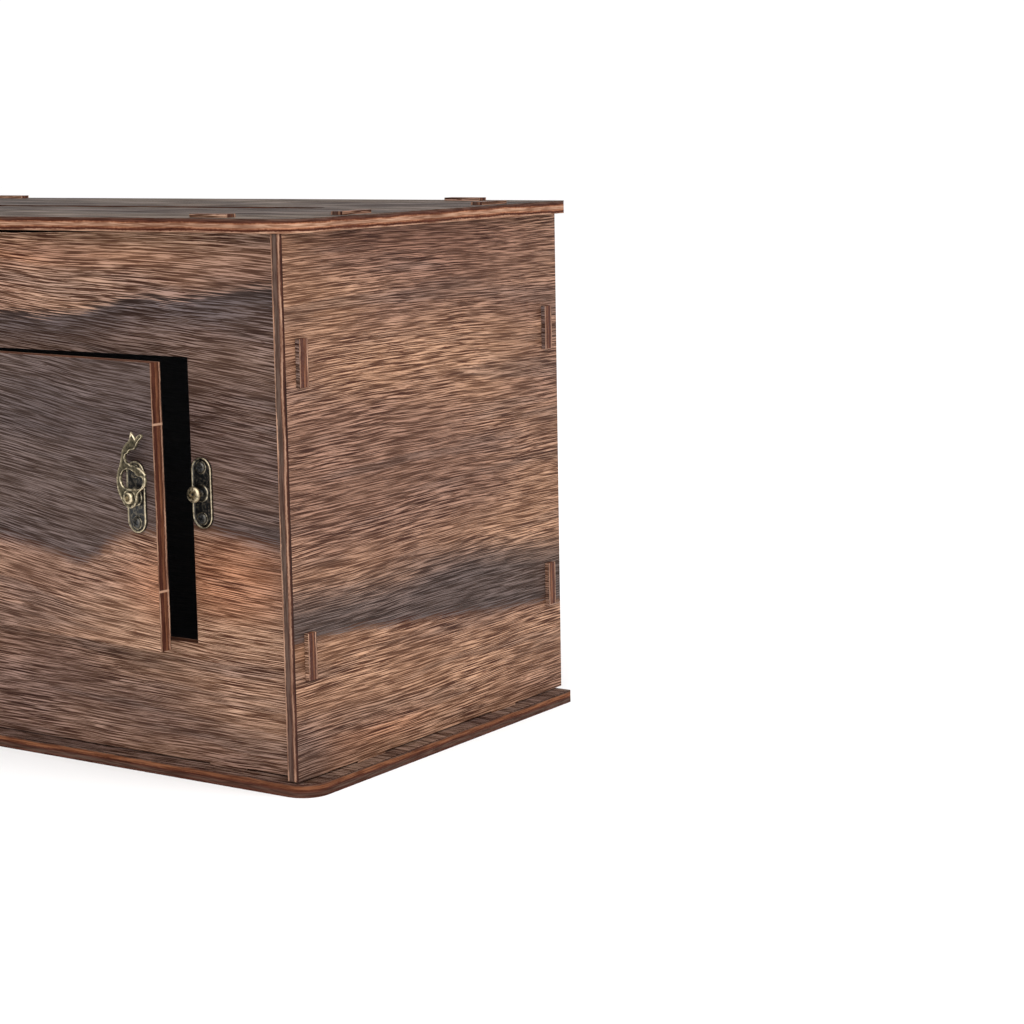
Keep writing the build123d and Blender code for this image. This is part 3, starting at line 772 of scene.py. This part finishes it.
def turned_shell(profile, sides=48, cross=None):
    """A surface of revolution about the Y axis: x = r cos a, z = r sin a, y = -height.

    The profile's rows are radius, height and wear; it starts and ends on the axis, or it ends
    where it starts. A cross lowers the points of the last rows that lie in its two arms."""
    radius, height, wear = (column[:, None] for column in np.asarray(profile, float).T)
    turn = np.linspace(0, 2 * np.pi, sides, endpoint=False)[None, :]
    x, z = radius * np.cos(turn), radius * np.sin(turn)
    front = height + 0 * turn
    if cross:
        depth, half_width, half_length = cross
        arm = np.maximum(bar(x, z, half_width, half_length), bar(z, x, half_width, half_length))
        arm = arm * (height > height.max() - 2 * depth)
        front = front - depth * arm
        wear = wear - 2.0 * arm
    points = np.stack((x, -front, z), axis=-1).reshape(-1, 3)
    return points, [ring_faces(len(radius), sides)], (wear + 0 * front).ravel()


def bar(across, along, half_width, half_length):
    """1 inside a soft-edged bar and 0 outside it."""
    inside = np.clip((half_width - np.abs(across)) / 0.08 + 0.5, 0, 1)
    return inside * np.clip((half_length - np.abs(along)) / 0.15 + 0.5, 0, 1)


def plate_shell(half_x, half_z, corner, profile, per_corner=12):
    """A round-cornered plate in the XZ plane, its face towards -Y.

    Each row of the profile is inset, height and wear: the outline is drawn inwards by the
    inset, its corner radius less the inset, and stands at y = -height. The first ring closes
    the back and the last one the face."""
    quarter = np.linspace(0, np.pi / 2, per_corner)
    turn = np.concatenate([quarter + k * np.pi / 2 for k in range(4)])[None, :]
    sign_x = np.sign(np.cos(turn.reshape(4, -1).mean(1))).repeat(per_corner)[None, :]
    sign_z = np.sign(np.sin(turn.reshape(4, -1).mean(1))).repeat(per_corner)[None, :]
    inset, height, wear = (column[:, None] for column in np.asarray(profile, float).T)
    radius = np.maximum(corner - inset, 0.02)
    x = sign_x * (half_x - inset - radius) + radius * np.cos(turn)
    z = sign_z * (half_z - inset - radius) + radius * np.sin(turn)
    points = np.stack((x, -height + 0 * turn, z), axis=-1).reshape(-1, 3)
    sides = turn.size
    caps = np.stack((np.arange(sides), len(inset) * sides - 1 - np.arange(sides)))
    return points, [ring_faces(len(inset), sides), caps], (wear + 0 * turn).ravel()


def outline_segments(node, on_door):
    """The edges of a node's flat front, as pairs of (x, z) points in millimetres.

    They are the sides of its front triangles that only one triangle has."""
    mesh = frame["nodes"][node].data
    points = np.empty(len(mesh.vertices) * 3)
    mesh.vertices.foreach_get("co", points)
    points = points.reshape(-1, 3)
    if on_door:
        points = turned_about_hinge(points, REST_ANGLE)
    corners = np.empty(len(mesh.polygons) * 3, int)
    mesh.polygons.foreach_get("vertices", corners)
    places = np.round(points / MM, 3)
    places, index = np.unique(places, axis=0, return_inverse=True)
    triangles = index.reshape(-1)[corners].reshape(-1, 3)
    front = np.all(places[triangles][:, :, 1] < places[:, 1].min() + 0.02, axis=1)
    sides = triangles[front][:, [[0, 1], [1, 2], [2, 0]]].reshape(-1, 2)
    sides, count = np.unique(np.sort(sides, axis=1), axis=0, return_counts=True)
    return places[sides[count == 1]][:, :, [0, 2]]


def distance_inside(x, z, segments):
    """How far each point lies inside the outline, negative outside, and its nearest outline point.

    The distance is the least to any segment; a point is inside if a ray to its right crosses
    the outline an odd number of times."""
    nearest = np.full(x.shape, np.inf)
    foot = np.zeros((*x.shape, 2))
    inside = np.zeros(x.shape, bool)
    for (ax, az), (bx, bz) in segments:
        dx, dz = bx - ax, bz - az
        share_along = np.clip(((x - ax) * dx + (z - az) * dz) / (dx * dx + dz * dz), 0, 1)
        near_x, near_z = ax + share_along * dx, az + share_along * dz
        away = np.hypot(x - near_x, z - near_z)
        closer = away < nearest
        nearest = np.where(closer, away, nearest)
        foot[closer] = np.stack((near_x, near_z), axis=-1)[closer]
        if dz:
            inside ^= ((az > z) != (bz > z)) & (x < ax + (z - az) * dx / dz)
    return np.where(inside, nearest, -nearest), foot


def relief_shell(segments, step, surface):
    """A plate of any outline, from a square grid whose points near the outline move onto it.

    surface takes x, z and the distance inside, and gives front height, back height and wear.
    Cells with four kept corners become quads and those with three become triangles, front and
    back, and a wall joins the two along the outline."""
    low, high = segments.min(axis=(0, 1)) - step, segments.max(axis=(0, 1)) + step
    x, z = np.meshgrid(np.arange(low[0], high[0], step), np.arange(low[1], high[1], step), indexing="ij")
    inside, foot = distance_inside(x, z, segments)
    on_edge = np.abs(inside) <= step / 2
    kept = inside > -step / 2
    x = np.where(on_edge, foot[..., 0], x)
    z = np.where(on_edge, foot[..., 1], z)
    depth = np.where(on_edge, 0.0, inside)
    front, back, wear = surface(x, z, depth)
    index = np.arange(x.size).reshape(x.shape)
    cells = (index[:-1, :-1], index[1:, :-1], index[1:, 1:], index[:-1, 1:])
    cells = np.stack(cells, axis=-1).reshape(-1, 4)
    corners_kept = kept.ravel()[cells].sum(axis=1)
    parts = cells[corners_kept == 3]
    missing = np.argmin(kept.ravel()[parts], axis=1)
    triangles = np.take_along_axis(parts, (missing[:, None] + np.arange(1, 4)) % 4, axis=1)
    quads, triangles = (
        f[~(on_edge.ravel()[f].all(axis=1) & (inside.ravel()[f].mean(axis=1) < 0))]
        for f in (cells[corners_kept == 4], triangles)
    )
    total = x.size
    edges = np.concatenate([f[:, [i, (i + 1) % f.shape[1]]] for f in (quads, triangles)
                            for i in range(f.shape[1])])
    rim = edges[~np.isin(edges[:, 1] * total + edges[:, 0], edges[:, 0] * total + edges[:, 1])]
    walls = np.stack((rim[:, 1], rim[:, 0], rim[:, 0] + total, rim[:, 1] + total), axis=1)
    points = np.concatenate([np.stack((x, -h, z), axis=-1).reshape(-1, 3) for h in (front, back)])
    faces = [quads, triangles, quads[:, ::-1] + total, triangles[:, ::-1] + total, walls]
    return points, faces, np.tile(wear.ravel(), 2)


def moved(shell, x=0.0, y=0.0, z=0.0, turn=0.0):
    """A shell turned about the Y axis and carried to a place."""
    points, faces, wear = shell
    c, s = math.cos(turn), math.sin(turn)
    turned = points @ np.array(((c, 0, -s), (0, 1, 0), (s, 0, c)))
    return turned + (x, y, z), faces, wear


def turned_about_hinge(points, turn):
    """Points turned about the door's hinge: x and y about the pin, z as it was."""
    c, s = math.cos(turn), math.sin(turn)
    offset = points - np.array(HINGE)
    return offset @ np.array(((c, s, 0), (-s, c, 0), (0, 0, 1))) + np.array(HINGE)


def make_piece(name, shells, body, nodes, material):
    """One piece from several shells: joined, its doubles merged, its faces turned outwards, its
    wear kept as a point attribute. It rides on a body and stands for CAD nodes."""
    starts = np.cumsum([0] + [len(points) for points, _, _ in shells[:-1]])
    points = np.concatenate([points for points, _, _ in shells]) * MM
    if body != "box":
        points = turned_about_hinge(points, -REST_ANGLE)
    faces = [part + start for start, shell in zip(starts, shells) for part in shell[1] if len(part)]
    mesh = make_mesh(name, points, faces)
    wear = mesh.attributes.new("wear", "FLOAT", "POINT")
    wear.data.foreach_set("value", np.concatenate([w for _, _, w in shells]).astype(np.float32))
    work = bmesh.new()
    work.from_mesh(mesh)
    bmesh.ops.delete(work, geom=[v for v in work.verts if not v.link_faces], context="VERTS")
    bmesh.ops.remove_doubles(work, verts=work.verts, dist=MERGE_DISTANCE)
    bmesh.ops.dissolve_degenerate(work, edges=work.edges, dist=MERGE_DISTANCE)
    bmesh.ops.recalc_face_normals(work, faces=work.faces)
    work.to_mesh(mesh)
    work.free()
    mesh.polygons.foreach_set("use_smooth", np.ones(len(mesh.polygons), bool))
    mesh.set_sharp_from_angle(angle=SHARP_ANGLE)
    mesh.materials.append(material)
    piece = bpy.data.objects.new(name, mesh)
    bpy.context.scene.collection.objects.link(piece)
    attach(piece, body)
    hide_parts(*nodes)
    return piece


def middle_place(node, on_door=False):
    """Middle of a node's box in millimetres, on the closed door if it is on the door."""
    low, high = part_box(node)
    middle = np.array((low + high) / 2)[None, :]
    return (turned_about_hinge(middle, REST_ANGLE) if on_door else middle)[0] / MM


def screw_shell(metal, cross_depth):
    """A screw through metal of some thickness: a cone tip, a shank, a flat underside, and a
    head with a cross, whose top falls by a parabola from its middle to its edge."""
    s = SCREW
    shoulder = metal + s["height"]
    profile = [(0.0, -s["depth"] - s["tip"], 0), (s["shank"], -s["depth"], 0), (s["shank"], metal, 0),
               (s["head"], metal, 0.1), (s["head"], metal + s["rim"], 0.5), (s["head_top"], shoulder, 0.3)]
    profile = rounded(profile, 0.15, 3)
    top = np.linspace(1, 0, 18)[1:]
    dome = np.stack((s["head_top"] * top, shoulder + s["dome"] * (1 - top ** 2), 0.1 + 0 * top), axis=1)
    cross = (cross_depth, s["cross_width"] / 2, s["cross_length"] / 2)
    return turned_shell(np.concatenate((profile, dome)), 64, cross)


def ring_shell(inner, outer, low, high, wear=0.8):
    """A raised ring with a rounded top, from one radius to another."""
    middle = (inner + outer) / 2
    profile = [(inner, low, 0), (outer, low, 0), (outer, high - 0.12, wear / 2), (middle, high, wear),
               (inner, high - 0.12, 0), (inner, low, 0)]
    return turned_shell(rounded(profile, 0.12, 3), 48)


def oval_plate_shells(metal):
    """An oval plate with a raised rim, a sunk middle, a seat round each screw and a low boss."""
    low, high = (np.array(corner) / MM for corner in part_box("catch_plate"))
    half_x, top, half_z = (high - low) * (0.5, 1, 0.5)
    rim, floor = metal.rim_width / MM, top - metal.recess / MM
    # From the back up the side, over the rim and down to the sunk middle
    profile = [(0, 0, 0), (0, top - 0.45, 0.2), (0.10, top - 0.08, 0.7), (rim / 2, top, 0.8),
               (rim, top - 0.12, 0.5), (rim + 0.3, floor, -0.3), (rim + 1.0, floor, -0.4)]
    shells = [plate_shell(half_x, half_z, half_x, rounded(profile, 0.2, 3))]
    foot, bed_radius = SEAT["foot"], SCREW["head"] + 0.1
    inner, outer = SCREW["head"] + SEAT["gap"], SCREW["head"] + metal.seat_width / MM
    seat = ring_shell(inner, outer, foot, top - 0.05, SEAT["wear"])
    bed = turned_shell([(0, foot, 0), (bed_radius, foot, 0), (bed_radius, top, -0.4), (0, top, -0.4)])
    for offset in SCREW["plate_offsets"]:
        shells += [moved(seat, z=offset), moved(bed, z=offset)]
    return shells + [turned_shell(rounded(BOSS, 0.2), 56)]


def bell(away, width):
    """A bell curve: 1 at zero, and 1/e at the width."""
    return np.exp(-(away / width) ** 2)


def hook_surface(metal, pivot, front, back):
    """Heights and wear of the cast hook: rounded edges, a sunk middle and a ring round the rivet,
    with brass showing along the edges and in a few spots that are partly rubbed and partly painted
    highlight."""
    edge = metal.edge_radius / MM
    thick = front - back

    def surface(x, z, inside):
        """Edges follow a quarter circle, and the middle falls to a flat valley inside them."""
        curve = np.sqrt(np.clip(1 - (1 - np.clip(inside / edge, 0, 1)) ** 2, 0, 1))
        from_rivet = np.hypot(x - pivot[0], z - pivot[2])
        ring = bell(from_rivet - HOOK_RING["radius"], HOOK_RING["width"])
        valley = HOOK_VALLEY * thick * np.clip((inside - edge) / HOOK_SLOPE, 0, 1) * (1 - ring)
        high = back + thick * (HOOK_EDGE_HEIGHT + (1 - HOOK_EDGE_HEIGHT) * curve) - valley
        low = back + thick * HOOK_UNDERSIDE * (1 - curve)
        arris = bell(inside - HOOK_ARRIS["inside"], HOOK_ARRIS["width"])
        wear = HOOK_ARRIS["wear"] * arris + HOOK_RING["wear"] * ring - 0.1
        # Spots of brass that are partly rubbed and partly painted highlight
        for (spot_x, spot_z), radius in HOOK_HIGHLIGHT_AND_RUB_SPOTS:
            away = np.hypot(x - pivot[0] - spot_x, z - pivot[2] - spot_z)
            wear = wear + HOOK_HIGHLIGHT_AND_RUB_WEAR * bell(away, radius)
        return high, low, np.clip(wear, -0.2, 1.1)

    return surface


def leaf_shells(node, side, knuckles):
    """A hinge leaf: a flat plate on the wood, knuckles on the pin, and a web from each to the plate."""
    leaf = HINGE_LEAF
    low, high = (np.array(corner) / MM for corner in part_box(node))
    pin_x, face_y, pin_z = HINGE.x / MM, FRONT_FACE / MM, (low[2] + high[2]) / 2
    top, inner, outer = leaf["thickness"], leaf["inner"], leaf["width"]
    profile = rounded([(0, 0, 0), (0, top - 0.2, 0.5), (0.2, top, 0.8), (0.9, top, 0.0)], 0.15, 3)
    plate = plate_shell((outer - inner) / 2, leaf["height"] / 2, leaf["corner"], profile)
    shells = [moved(plate, pin_x + side * (outer + inner) / 2, face_y, pin_z)]
    half_web = inner / 2 + leaf["web_overlap"]
    web_profile = [(0, 0, 0), (0, top - 0.05, 0.1), (0.3, top - 0.05, 0)]
    for start, end in knuckles:
        half, centre = (end - start) / 2, (end + start) / 2 + pin_z
        web = plate_shell(half_web, half, 0.1, web_profile)
        shells.append(moved(web, pin_x + side * half_web, face_y, centre))
        shells.append(knuckle_shell(half, pin_x, centre))
    ring = ring_shell(SCREW["head"] + SEAT["gap"], SCREW["head"] + leaf["ring_width"], SEAT["foot"],
                      top + leaf["ring_height"], SEAT["wear"])
    for offset in hinge_screw_offsets():
        shells.append(moved(ring, pin_x + side * leaf["screw_offset"], face_y, pin_z + offset))
    return shells


def knuckle_shell(half, x, z):
    """A rolled knuckle: a tube with bevelled ends, turned upright and set on the pin."""
    bore, radius, bevel = (HINGE_LEAF[name] for name in ("bore", "knuckle", "bevel"))
    tube = [(bore, -half, 0), (radius - bevel, -half, 0.4), (radius, bevel - half, 0.35),
            (radius, half - bevel, 0.35), (radius - bevel, half, 0.4), (bore, half, 0), (bore, -half, 0)]
    points, faces, wear = turned_shell(tube, 40)
    upright = points[:, [0, 2, 1]] * (1, 1, -1)
    return upright + (x, HINGE.y / MM, z), faces, wear


def hinge_knuckles():
    """Spans of the lower, centre and upper knuckles from a hinge's middle."""
    half, third, gap = HINGE_LEAF["height"] / 2, HINGE_LEAF["height"] / 6, HINGE_LEAF["gap"] / 2
    return (-half, -third - gap), (gap - third, third - gap), (third + gap, half)


def hinge_screw_offsets():
    """Heights of a leaf's two screws from the hinge's middle."""
    return -HINGE_LEAF["screws"] / 2, HINGE_LEAF["screws"] / 2


class CARDBOX_OT_oval_plates(bpy.types.Operator):
    """Make the two oval plates of the latch"""
    bl_idname = "cardbox.oval_plates"
    bl_label = "Oval plates"

    def execute(self, context):
        metal = context.scene.cardbox_metal
        material = metal_material(context, "antique_plate", metal.patina, metal.brass)
        for node, body in (("catch_plate", "box"), ("latch_plate", "door")):
            x, _, z = middle_place(node, body == "door")
            shells = [moved(shell, x, FRONT_FACE / MM, z) for shell in oval_plate_shells(metal)]
            make_piece("oval_" + node, shells, body, [node], material)
        return {"FINISHED"}


class CARDBOX_OT_turned_fittings(bpy.types.Operator):
    """Make the catch post and the rivet that carries the hook"""
    bl_idname = "cardbox.turned_fittings"
    bl_label = "Post and rivet"

    def execute(self, context):
        metal = context.scene.cardbox_metal
        material = metal_material(context, "worn_brass", metal.rivet, metal.brass,
                                  bias=-0.15, roughness=0.42)
        for node, plate, body, profile in (("catch_post", "catch_plate", "box", POST),
                                           ("latch_rivet", "latch_plate", "door", RIVET)):
            x, _, z = middle_place(plate, body == "door")
            shell = turned_shell(rounded(profile, 0.25), 64)
            make_piece("turned_" + node, [moved(shell, x, FRONT_FACE / MM, z)], body,
                       [node], material)
        return {"FINISHED"}


class CARDBOX_OT_hook(bpy.types.Operator):
    """Make the cast hook from the outline of its CAD node"""
    bl_idname = "cardbox.hook"
    bl_label = "Hook"

    def execute(self, context):
        metal = context.scene.cardbox_metal
        material = metal_material(context, "cast_hook", metal.olive, metal.brass, roughness=0.40)
        points = np.array([v.co for v in frame["nodes"]["latch_hook"].data.vertices])
        depth = -turned_about_hinge(points, REST_ANGLE)[:, 1] / MM
        pivot = middle_place("latch_plate", True)
        shell = relief_shell(outline_segments("latch_hook", True), HOOK_GRID,
                             hook_surface(metal, pivot, depth.max(), depth.min()))
        make_piece("cast_hook", [shell], "hook", ["latch_hook"], material)
        return {"FINISHED"}


class CARDBOX_OT_screws(bpy.types.Operator):
    """Make the cross-head screws of the latch and the hinges"""
    bl_idname = "cardbox.screws"
    bl_label = "Screws"

    def execute(self, context):
        metal = context.scene.cardbox_metal
        material = metal_material(context, "black_screw", metal.screw, metal.bronze, roughness=0.45)
        leaf = HINGE_LEAF
        plate_top = (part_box("catch_plate")[1].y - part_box("catch_plate")[0].y) / MM
        hinge_heights = [middle_place(name + "_hinge_pin")[2] + offset
                         for name in HINGES for offset in hinge_screw_offsets()]
        groups = []
        for plate, body in (("catch_plate", "box"), ("latch_plate", "door")):
            x, _, z = middle_place(plate, body == "door")
            groups.append((plate + "_screws", body, plate_top, x, [z + o for o in SCREW["plate_offsets"]]))
        for node, body, side in (("hinge_frame_screws", "box", -1), ("hinge_door_screws", "door", 1)):
            x = HINGE.x / MM + side * leaf["screw_offset"]
            groups.append((node, body, leaf["thickness"], x, hinge_heights))
        for node, body, thickness, x, heights in groups:
            shell = screw_shell(thickness, metal.cross_depth / MM)
            shells = [moved(shell, x, FRONT_FACE / MM, z, FIRST_CROSS + GOLDEN_ANGLE * k)
                      for k, z in enumerate(heights)]
            make_piece("cross_" + node, shells, body, [node], material)
        return {"FINISHED"}


class CARDBOX_OT_hinges(bpy.types.Operator):
    """Make the leaves of the two hinges and finish their pins"""
    bl_idname = "cardbox.hinges"
    bl_label = "Hinges"

    def execute(self, context):
        metal = context.scene.cardbox_metal
        material = metal_material(context, "antique_hinge", metal.bronze, metal.brass)
        lower, centre, upper = hinge_knuckles()
        leaves = (("frame", "box", -1, (lower, upper)), ("door", "door", 1, (centre,)))
        for name in HINGES:
            for kind, body, side, knuckles in leaves:
                node = name + "_hinge_" + kind + "_leaf"
                shells = leaf_shells(node, side, knuckles)
                make_piece("rolled_" + node, shells, body, [node], material)
            finish_node(name + "_hinge_pin", material)
        return {"FINISHED"}


class CARDBOX_OT_stage(bpy.types.Operator):
    """Make the floor, the lights and the camera"""
    bl_idname = "cardbox.stage"
    bl_label = "Studio"

    def execute(self, context):
        stage = context.scene.cardbox_stage
        make_floor(stage)
        make_card(stage)
        make_sky(context, stage)
        make_light(context, "key_light", stage.key, KEY_PLACE)
        make_light(context, "side_light", stage.key * SIDE_LIGHT_SHARE, SIDE_PLACE)
        make_camera(context, stage)
        context.scene.view_settings.view_transform = "Standard"
        return {"FINISHED"}


def make_floor(stage):
    """A round floor at the height of the base plate's underside."""
    turn = np.linspace(0, 2 * np.pi, FLOOR_SIDES, endpoint=False)
    points = np.stack((np.cos(turn), np.sin(turn), np.zeros_like(turn)), axis=1) * stage.floor_radius
    mesh = make_mesh("floor", points, [np.arange(FLOOR_SIDES)[None, :]])
    floor = bpy.data.objects.new("floor", mesh)
    bpy.context.scene.collection.objects.link(floor)
    material, tree, shader = new_material("pale_floor")
    shader.inputs["Base Color"].default_value = (*stage.floor, 1.0)
    shader.inputs["Roughness"].default_value = 0.9
    shader.inputs["Specular IOR Level"].default_value = 0.1
    mesh.materials.append(material)


def make_card(stage):
    """A black card that only reflections see: a quarter of a cylinder to the left of the camera,
    x = r cos a, y = r sin a, from just above the floor to its height."""
    turn = np.linspace(stage.card_start, stage.card_end, CARD_COLUMNS)
    turn, level = np.meshgrid(turn, (CARD_FOOT, stage.card_height), indexing="ij")
    radius = stage.card_radius
    points = np.stack((radius * np.cos(turn), radius * np.sin(turn), level), axis=-1)
    start = np.arange(0, 2 * (CARD_COLUMNS - 1), 2)
    quads = np.stack((start, start + 1, start + 3, start + 2), axis=1)
    card = bpy.data.objects.new("black_card", make_mesh("black_card", points.reshape(-1, 3), [quads]))
    bpy.context.scene.collection.objects.link(card)
    material, tree, shader = new_material("black_card")
    shader.inputs["Base Color"].default_value = (0.02, 0.02, 0.02, 1.0)
    shader.inputs["Roughness"].default_value = 1.0
    card.data.materials.append(material)
    card.visible_camera = False
    card.visible_diffuse = False
    card.visible_shadow = False


def make_sky(context, stage):
    """Even white light from all round."""
    world = bpy.data.worlds.new("white_sky")
    world.use_nodes = True
    world.node_tree.nodes["Background"].inputs["Color"].default_value = (1.0, 1.0, 1.0, 1.0)
    world.node_tree.nodes["Background"].inputs["Strength"].default_value = stage.sky
    context.scene.world = world


def make_light(context, name, power, place):
    """A large square light that faces the middle of the box."""
    lamp = bpy.data.lights.new(name, "AREA")
    lamp.energy = power
    lamp.size = LIGHT_SIZE
    light = bpy.data.objects.new(name, lamp)
    context.scene.collection.objects.link(light)
    aim = LIGHT_AIM - Vector(place)
    light.location = place
    light.rotation_euler = aim.to_track_quat("-Z", "Y").to_euler()


def make_camera(context, stage):
    """The camera from its place, pitch, yaw and roll."""
    sin_yaw, cos_yaw = math.sin(stage.yaw), math.cos(stage.yaw)
    sin_pitch, cos_pitch = math.sin(stage.pitch), math.cos(stage.pitch)
    forward = Vector((-sin_yaw * cos_pitch, cos_yaw * cos_pitch, -sin_pitch))
    level_right = Vector((cos_yaw, sin_yaw, 0.0))
    level_up = level_right.cross(forward)
    right = level_right * math.cos(stage.roll) + level_up * math.sin(stage.roll)
    up = level_up * math.cos(stage.roll) - level_right * math.sin(stage.roll)
    data = bpy.data.cameras.new("photo_camera")
    data.lens = stage.lens
    data.sensor_width = SENSOR_WIDTH
    camera = bpy.data.objects.new("photo_camera", data)
    context.scene.collection.objects.link(camera)
    turn = Matrix((right, up, -forward)).transposed()
    camera.matrix_world = Matrix.Translation(stage.camera_place) @ turn.to_4x4()
    context.scene.camera = camera


def make_mesh(name, points, faces):
    """A mesh from an array of points and a list of index arrays, one for each number of sides."""
    mesh = bpy.data.meshes.new(name)
    corners = np.concatenate([part.ravel() for part in faces]).astype(np.int32)
    sides = np.concatenate([np.full(len(part), part.shape[1]) for part in faces])
    starts = np.concatenate(([0], np.cumsum(sides)[:-1])).astype(np.int32)
    mesh.vertices.add(len(points))
    mesh.vertices.foreach_set("co", points.astype(np.float32).ravel())
    mesh.loops.add(len(corners))
    mesh.loops.foreach_set("vertex_index", corners)
    mesh.polygons.add(len(sides))
    mesh.polygons.foreach_set("loop_start", starts)
    mesh.update(calc_edges=True)
    mesh.validate()
    return mesh


class CARDBOX_PT_panel(bpy.types.Panel):
    """Card box pieces and settings"""
    bl_label = "Card box"
    bl_space_type = "VIEW_3D"
    bl_region_type = "UI"
    bl_category = "Card box"

    def draw(self, context):
        for operator in OPERATORS:
            self.layout.operator(operator.bl_idname)
        for group in SETTINGS:
            settings = getattr(context.scene, group)
            box = self.layout.box()
            for name in settings.__annotations__:
                box.prop(settings, name)


SETTINGS = {"cardbox_wood": CARDBOX_wood, "cardbox_metal": CARDBOX_metal, "cardbox_stage": CARDBOX_stage}
OPERATORS = (CARDBOX_OT_panels, CARDBOX_OT_hinges, CARDBOX_OT_oval_plates, CARDBOX_OT_turned_fittings,
             CARDBOX_OT_hook, CARDBOX_OT_screws, CARDBOX_OT_stage)
CLASSES = (*SETTINGS.values(), *OPERATORS, CARDBOX_PT_panel)


def register():
    for cls in CLASSES:
        bpy.utils.register_class(cls)
    for name, cls in SETTINGS.items():
        setattr(bpy.types.Scene, name, PointerProperty(type=cls))


def unregister():
    for name in SETTINGS:
        delattr(bpy.types.Scene, name)
    for cls in reversed(CLASSES):
        bpy.utils.unregister_class(cls)


def main():
    register()
    bpy.ops.cardbox.panels()
    bpy.ops.cardbox.hinges()
    bpy.ops.cardbox.oval_plates()
    bpy.ops.cardbox.turned_fittings()
    bpy.ops.cardbox.hook()
    bpy.ops.cardbox.screws()
    bpy.ops.cardbox.stage()


if __name__ == "__main__":
    main()
